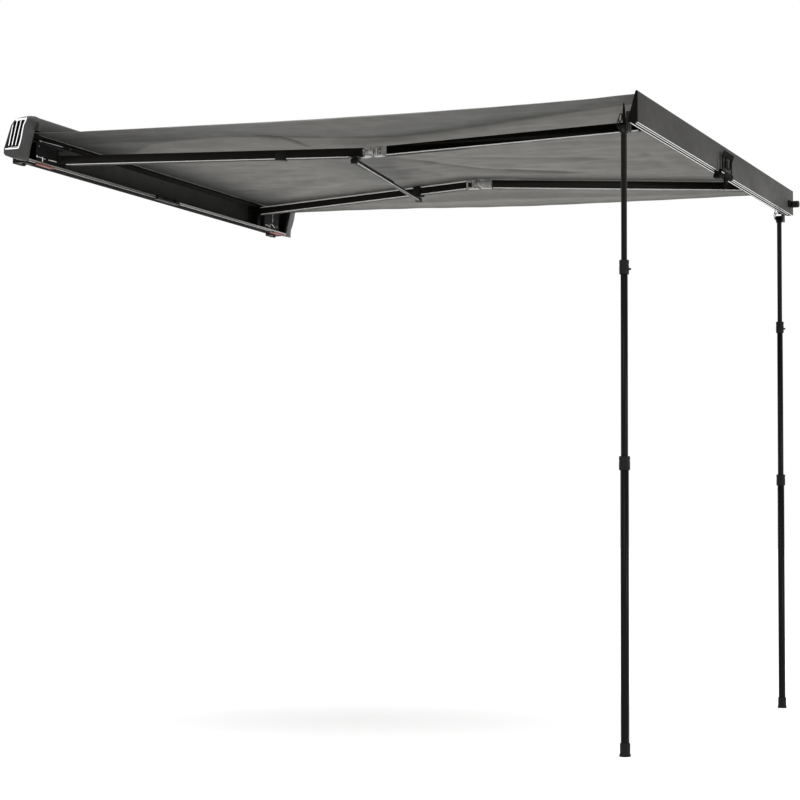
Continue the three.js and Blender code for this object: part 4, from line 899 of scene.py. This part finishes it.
def arm_pt(side, link, s, t, z):
    """A point on an arm: s along the link, t across it, z above its underside."""
    pts = {"S": (-PIVOT_X, SHOULDER_Y), "E": (-ELBOW_X, ELBOW_Y), "W": (-PIVOT_X, WRIST_Y)}
    a, b = (pts["S"], pts["E"]) if link == "rear" else (pts["E"], pts["W"])
    zs, ze, zw = ARM_Z[side]
    z0, z1 = (zs, ze) if link == "rear" else (ze, zw)
    ux, uy = (b[0] - a[0]) / LINK, (b[1] - a[1]) / LINK
    x, y, h = a[0] + ux * s - uy * t, a[1] + uy * s + ux * t, z + z0 + (z1 - z0) * s / LINK
    g = math.atan(TILT)
    dx, dz = x + PIVOT_X, h - LEAN_Z[side]
    x, h = dx * math.cos(g) + dz * math.sin(g) - PIVOT_X, -dx * math.sin(g) + dz * math.cos(g) + LEAN_Z[side]
    return (-x if side == "far" else x), y, h


def arm_strip(name, side, link, s0, s1, z, tall, mat, t=None, thick=0.7, steps=1):
    """Thin strip on the outer or inner side face of an arm."""
    out_t = t if t is not None else 1.5
    n = Vector(arm_pt(side, link, s0, out_t - 10, z)) - Vector(arm_pt(side, link, s0, out_t, z))
    path = [arm_pt(side, link, s0 + (s1 - s0) * i / steps, out_t, z) for i in range(steps + 1)]
    swept(name, path, 1, link + "_" + side, mat, flat=(tall, thick, tuple(n.normalized())), limit=40)


for s_ in ("near", "far"):
    # painted highlight: pale strips along the arms' lower edges, and the far rear arm's upper edge, stand for the light
    # their faces reflect
    for lk, a_, b_ in (("rear", 40, LINK - 36), ("front", 76, LINK - 36)):
        for face_t, tag in ((1.35, "a"), (26.65, "b")):
            arm_strip(f"edge_low_{lk}_{tag}_{s_}", s_, lk, a_, b_, 2.4, 4.4 if s_ == "far" else 3.6 if lk == "front" else 2.8, "edge_far", face_t)
            if s_ == "far" and lk == "rear":
                arm_strip(f"edge_top_{lk}_{tag}_{s_}", s_, lk, a_, b_, ARM_H - 2.6, 4.0, "edge_far", face_t)
    # the rear half of the elbow block is coated like its arm as far as the knuckle
    lim_ = LINK - (12 if s_ == "near" else 14)
    sx = -1 if s_ == "near" else 1
    ux, uy = (sx * ELBOW_X - sx * PIVOT_X) / LINK, (ELBOW_Y - SHOULDER_Y) / LINK
    paint_faces(DONE["elbow_rear_" + s_], [("arm", lambda c, n: (mid(c, 0) - sx * PIVOT_X) * ux + (mid(c, 1) - SHOULDER_Y) * uy < lim_ - 8)])
    for face_t, tag in ((0.9, "a"), (27.1, "b")):
        # cover plates with rivets and windows over the knuckle; the windows are flat dark bars painted as shaded
        # recesses, with a bright bar between them painted as a highlight
        if s_ == "near":
            arm_strip(f"ferrule_{tag}_{s_}", s_, "front", 71, 88, ARM_H / 2, ARM_H + 1.0, "cast", face_t + (0.1 if face_t < 5 else -0.1), 1.0)
        off = face_t + (0.5 if face_t < 5 else -0.5)
        arm_strip(f"knuckle_gap_{tag}_{s_}", s_, "rear", LINK - 8.5, LINK - 4.5, ARM_H / 2 - 1, 25, "slot", off, 0.5)
        if s_ == "near":
            # painted shade and highlight: dark recess bars and a bright bar between them
            for i, (s0, s1, z0, z1, k) in enumerate([(24, 26.5, 4, 33, "slot"), (36, 41, 3, 34, "bright"), (45, 47.5, 4, 33, "slot")]):
                arm_strip(f"knuckle_bar_{i}_{tag}_{s_}", s_, "front", s0, s1, (z0 + z1) / 2, z1 - z0, k, off, 0.5)
            spots = [(57, 26, "iron", 3.6), (57, 11, "iron", 3.6)]
        else:
            arm_strip(f"knuckle_bar_0_{tag}_{s_}", s_, "front", 8, 66, ARM_H - 5, 1.6, "lead", off, 0.5)
            spots = [(2, 28, "iron", 3.0), (62, 9, "zinc", 2.6)]
        for i, (ps, pz, k, r) in enumerate(spots):
            q = arm_pt(s_, "front", ps, face_t + (0.4 if face_t < 5 else -0.4), pz)
            q2 = arm_pt(s_, "front", ps, face_t + (-10 if face_t < 5 else 10), pz)
            screw(f"rivet_{i}_{tag}_{s_}", q, Vector(q2) - Vector(q), "front_" + s_, r, k)

# rafter: painted highlight strips along the lower edges of its sides, a thin plate under the arm beside its bracket
def rafter_pt(s, t, z):
    rp = along("near", LINK - 52, -22.6)
    jp = along("far", 950, -ARM_OFF)
    ln = math.hypot(jp[0] - rp[0], jp[1] - rp[1])
    ux, uy = (jp[0] - rp[0]) / ln, (jp[1] - rp[1]) / ln
    return rp[0] + ux * s - uy * t, rp[1] + uy * s + ux * t, z + 42 * s / ln


def along(side, s, t):
    sx = -1 if side == "near" else 1
    a, b = (sx * PIVOT_X, SHOULDER_Y), (sx * ELBOW_X, ELBOW_Y)
    ux, uy = (b[0] - a[0]) / LINK, (b[1] - a[1]) / LINK
    return a[0] + ux * s - uy * t, a[1] + uy * s + ux * t


_n = Vector(rafter_pt(100, -20, 0)) - Vector(rafter_pt(100, 0, 0))
# painted highlight strips along the lower edges of the rafter and its rod
for tag, sg in (("a", -1), ("b", 1)):
    swept("rafter_edge_" + tag, [rafter_pt(22, sg * 9.6, -57 + 2.4), rafter_pt(736, sg * 9.6, -57 + 2.4)], 1, "rafter", "edge_far", flat=(4.2, 0.7, tuple(_n.normalized())), limit=40)
    swept("rafter_rod_edge_" + tag, [rafter_pt(752, sg * 7.15, -57 + 4.2), rafter_pt(1318, sg * 7.15, -57 + 4.2)], 1, "rafter_rod", "edge_far", flat=(2.6, 0.5, tuple(_n.normalized())), limit=40)
swept("rafter_plate", [arm_pt("near", "rear", LINK - 140, ARM_OFF, -1.0), arm_pt("near", "rear", LINK - 73, ARM_OFF, -1.0)], 1, "rear_near", "black", flat=(23, 1.4, (0, 0, 1)), limit=40)

# shoulders: dark cover over the bracket's outer part, with rivets, and thin bright bars painted as highlights along its
# edges
for s_, sg in (("near", -1), ("far", 1)):
    top = 17 if s_ == "near" else 36
    lo_, hi_ = sorted((sg * 1113, sg * 956))
    cov = fillet([(lo_, -51.5), (hi_, -51.5), (hi_, top + 3.5), (lo_, top + 3.5)], 6)
    prism("shoulder_cover_" + s_, cov, "Y", -61.4, -60.1, "case", "slot", bevel=0.4)
    marks = [(1091, -35, 3.0), (1020, -36, 2.4), (1092, 8, 2.0)] if s_ == "near" else [(1092, -34, 2.4), (1020, -30, 2.4), (975, 24, 2.2)]
    for i, (x, z, r) in enumerate(marks):
        screw(f"cover_screw_{i}_{s_}", (sg * x, -61.3, z), (0, -1, 0), "case", r)
    bars = {"near": [[(-1086, -61.9, -34.8), (-1046, -61.9, -37.4)], [(-1018, -61.9, -35.8), (-962, -61.9, -34.6)], [(-1066, -61.9, -31), (-1066, -61.9, -50)]],
            "far": [[(962, -61.9, -38.2), (1015, -61.9, -39.2), (1015, -61.9, -50)], [(1032, -61.9, -27), (1066, -61.9, -40)], [(1044, -61.9, 20), (1044, -61.9, -18)]]}[s_]
    for i, path in enumerate(bars):
        swept(f"cover_highlight_bar_{i}_{s_}", path, 1.5 if i != 1 else 2.0, "case", "bright", sides=8)
    # fixings along the shelf above; their white heads are painted glints
    shelf = [(-1023.8, -22.6), (-1000, -22.2), (-972, -25), (-945.6, -27.3), (-905, -29), (-866, -31.6), (-798, -30)] if s_ == "near" else [(1034, -9.5), (1071.8, -12)]
    for i, (x, y) in enumerate(shelf):
        screw(f"shelf_rivet_{i}_{s_}", (x, y, 43.1), (0, 0, -1), "case", 4.6 if i == 0 else 2.2, "rib")
    if s_ == "near":
        # a bright wire along the shelf and white screw heads, painted as glints
        swept("shelf_glint_wire_near", [(-1015, -22.4, 42.2), (-945, -27.3, 42.2), (-866, -31.6, 42.2)], 1.1, "case", "bright", sides=8)
        screw("shelf_glint_end", (-1021, -25.5, 41.4), (-0.5, -1, -0.5), "case", 4.2, "rib")
        screw("cover_screw_low_near", (-1107, -61.3, -34.5), (0, -1, 0), "case", 4.2, "rib")
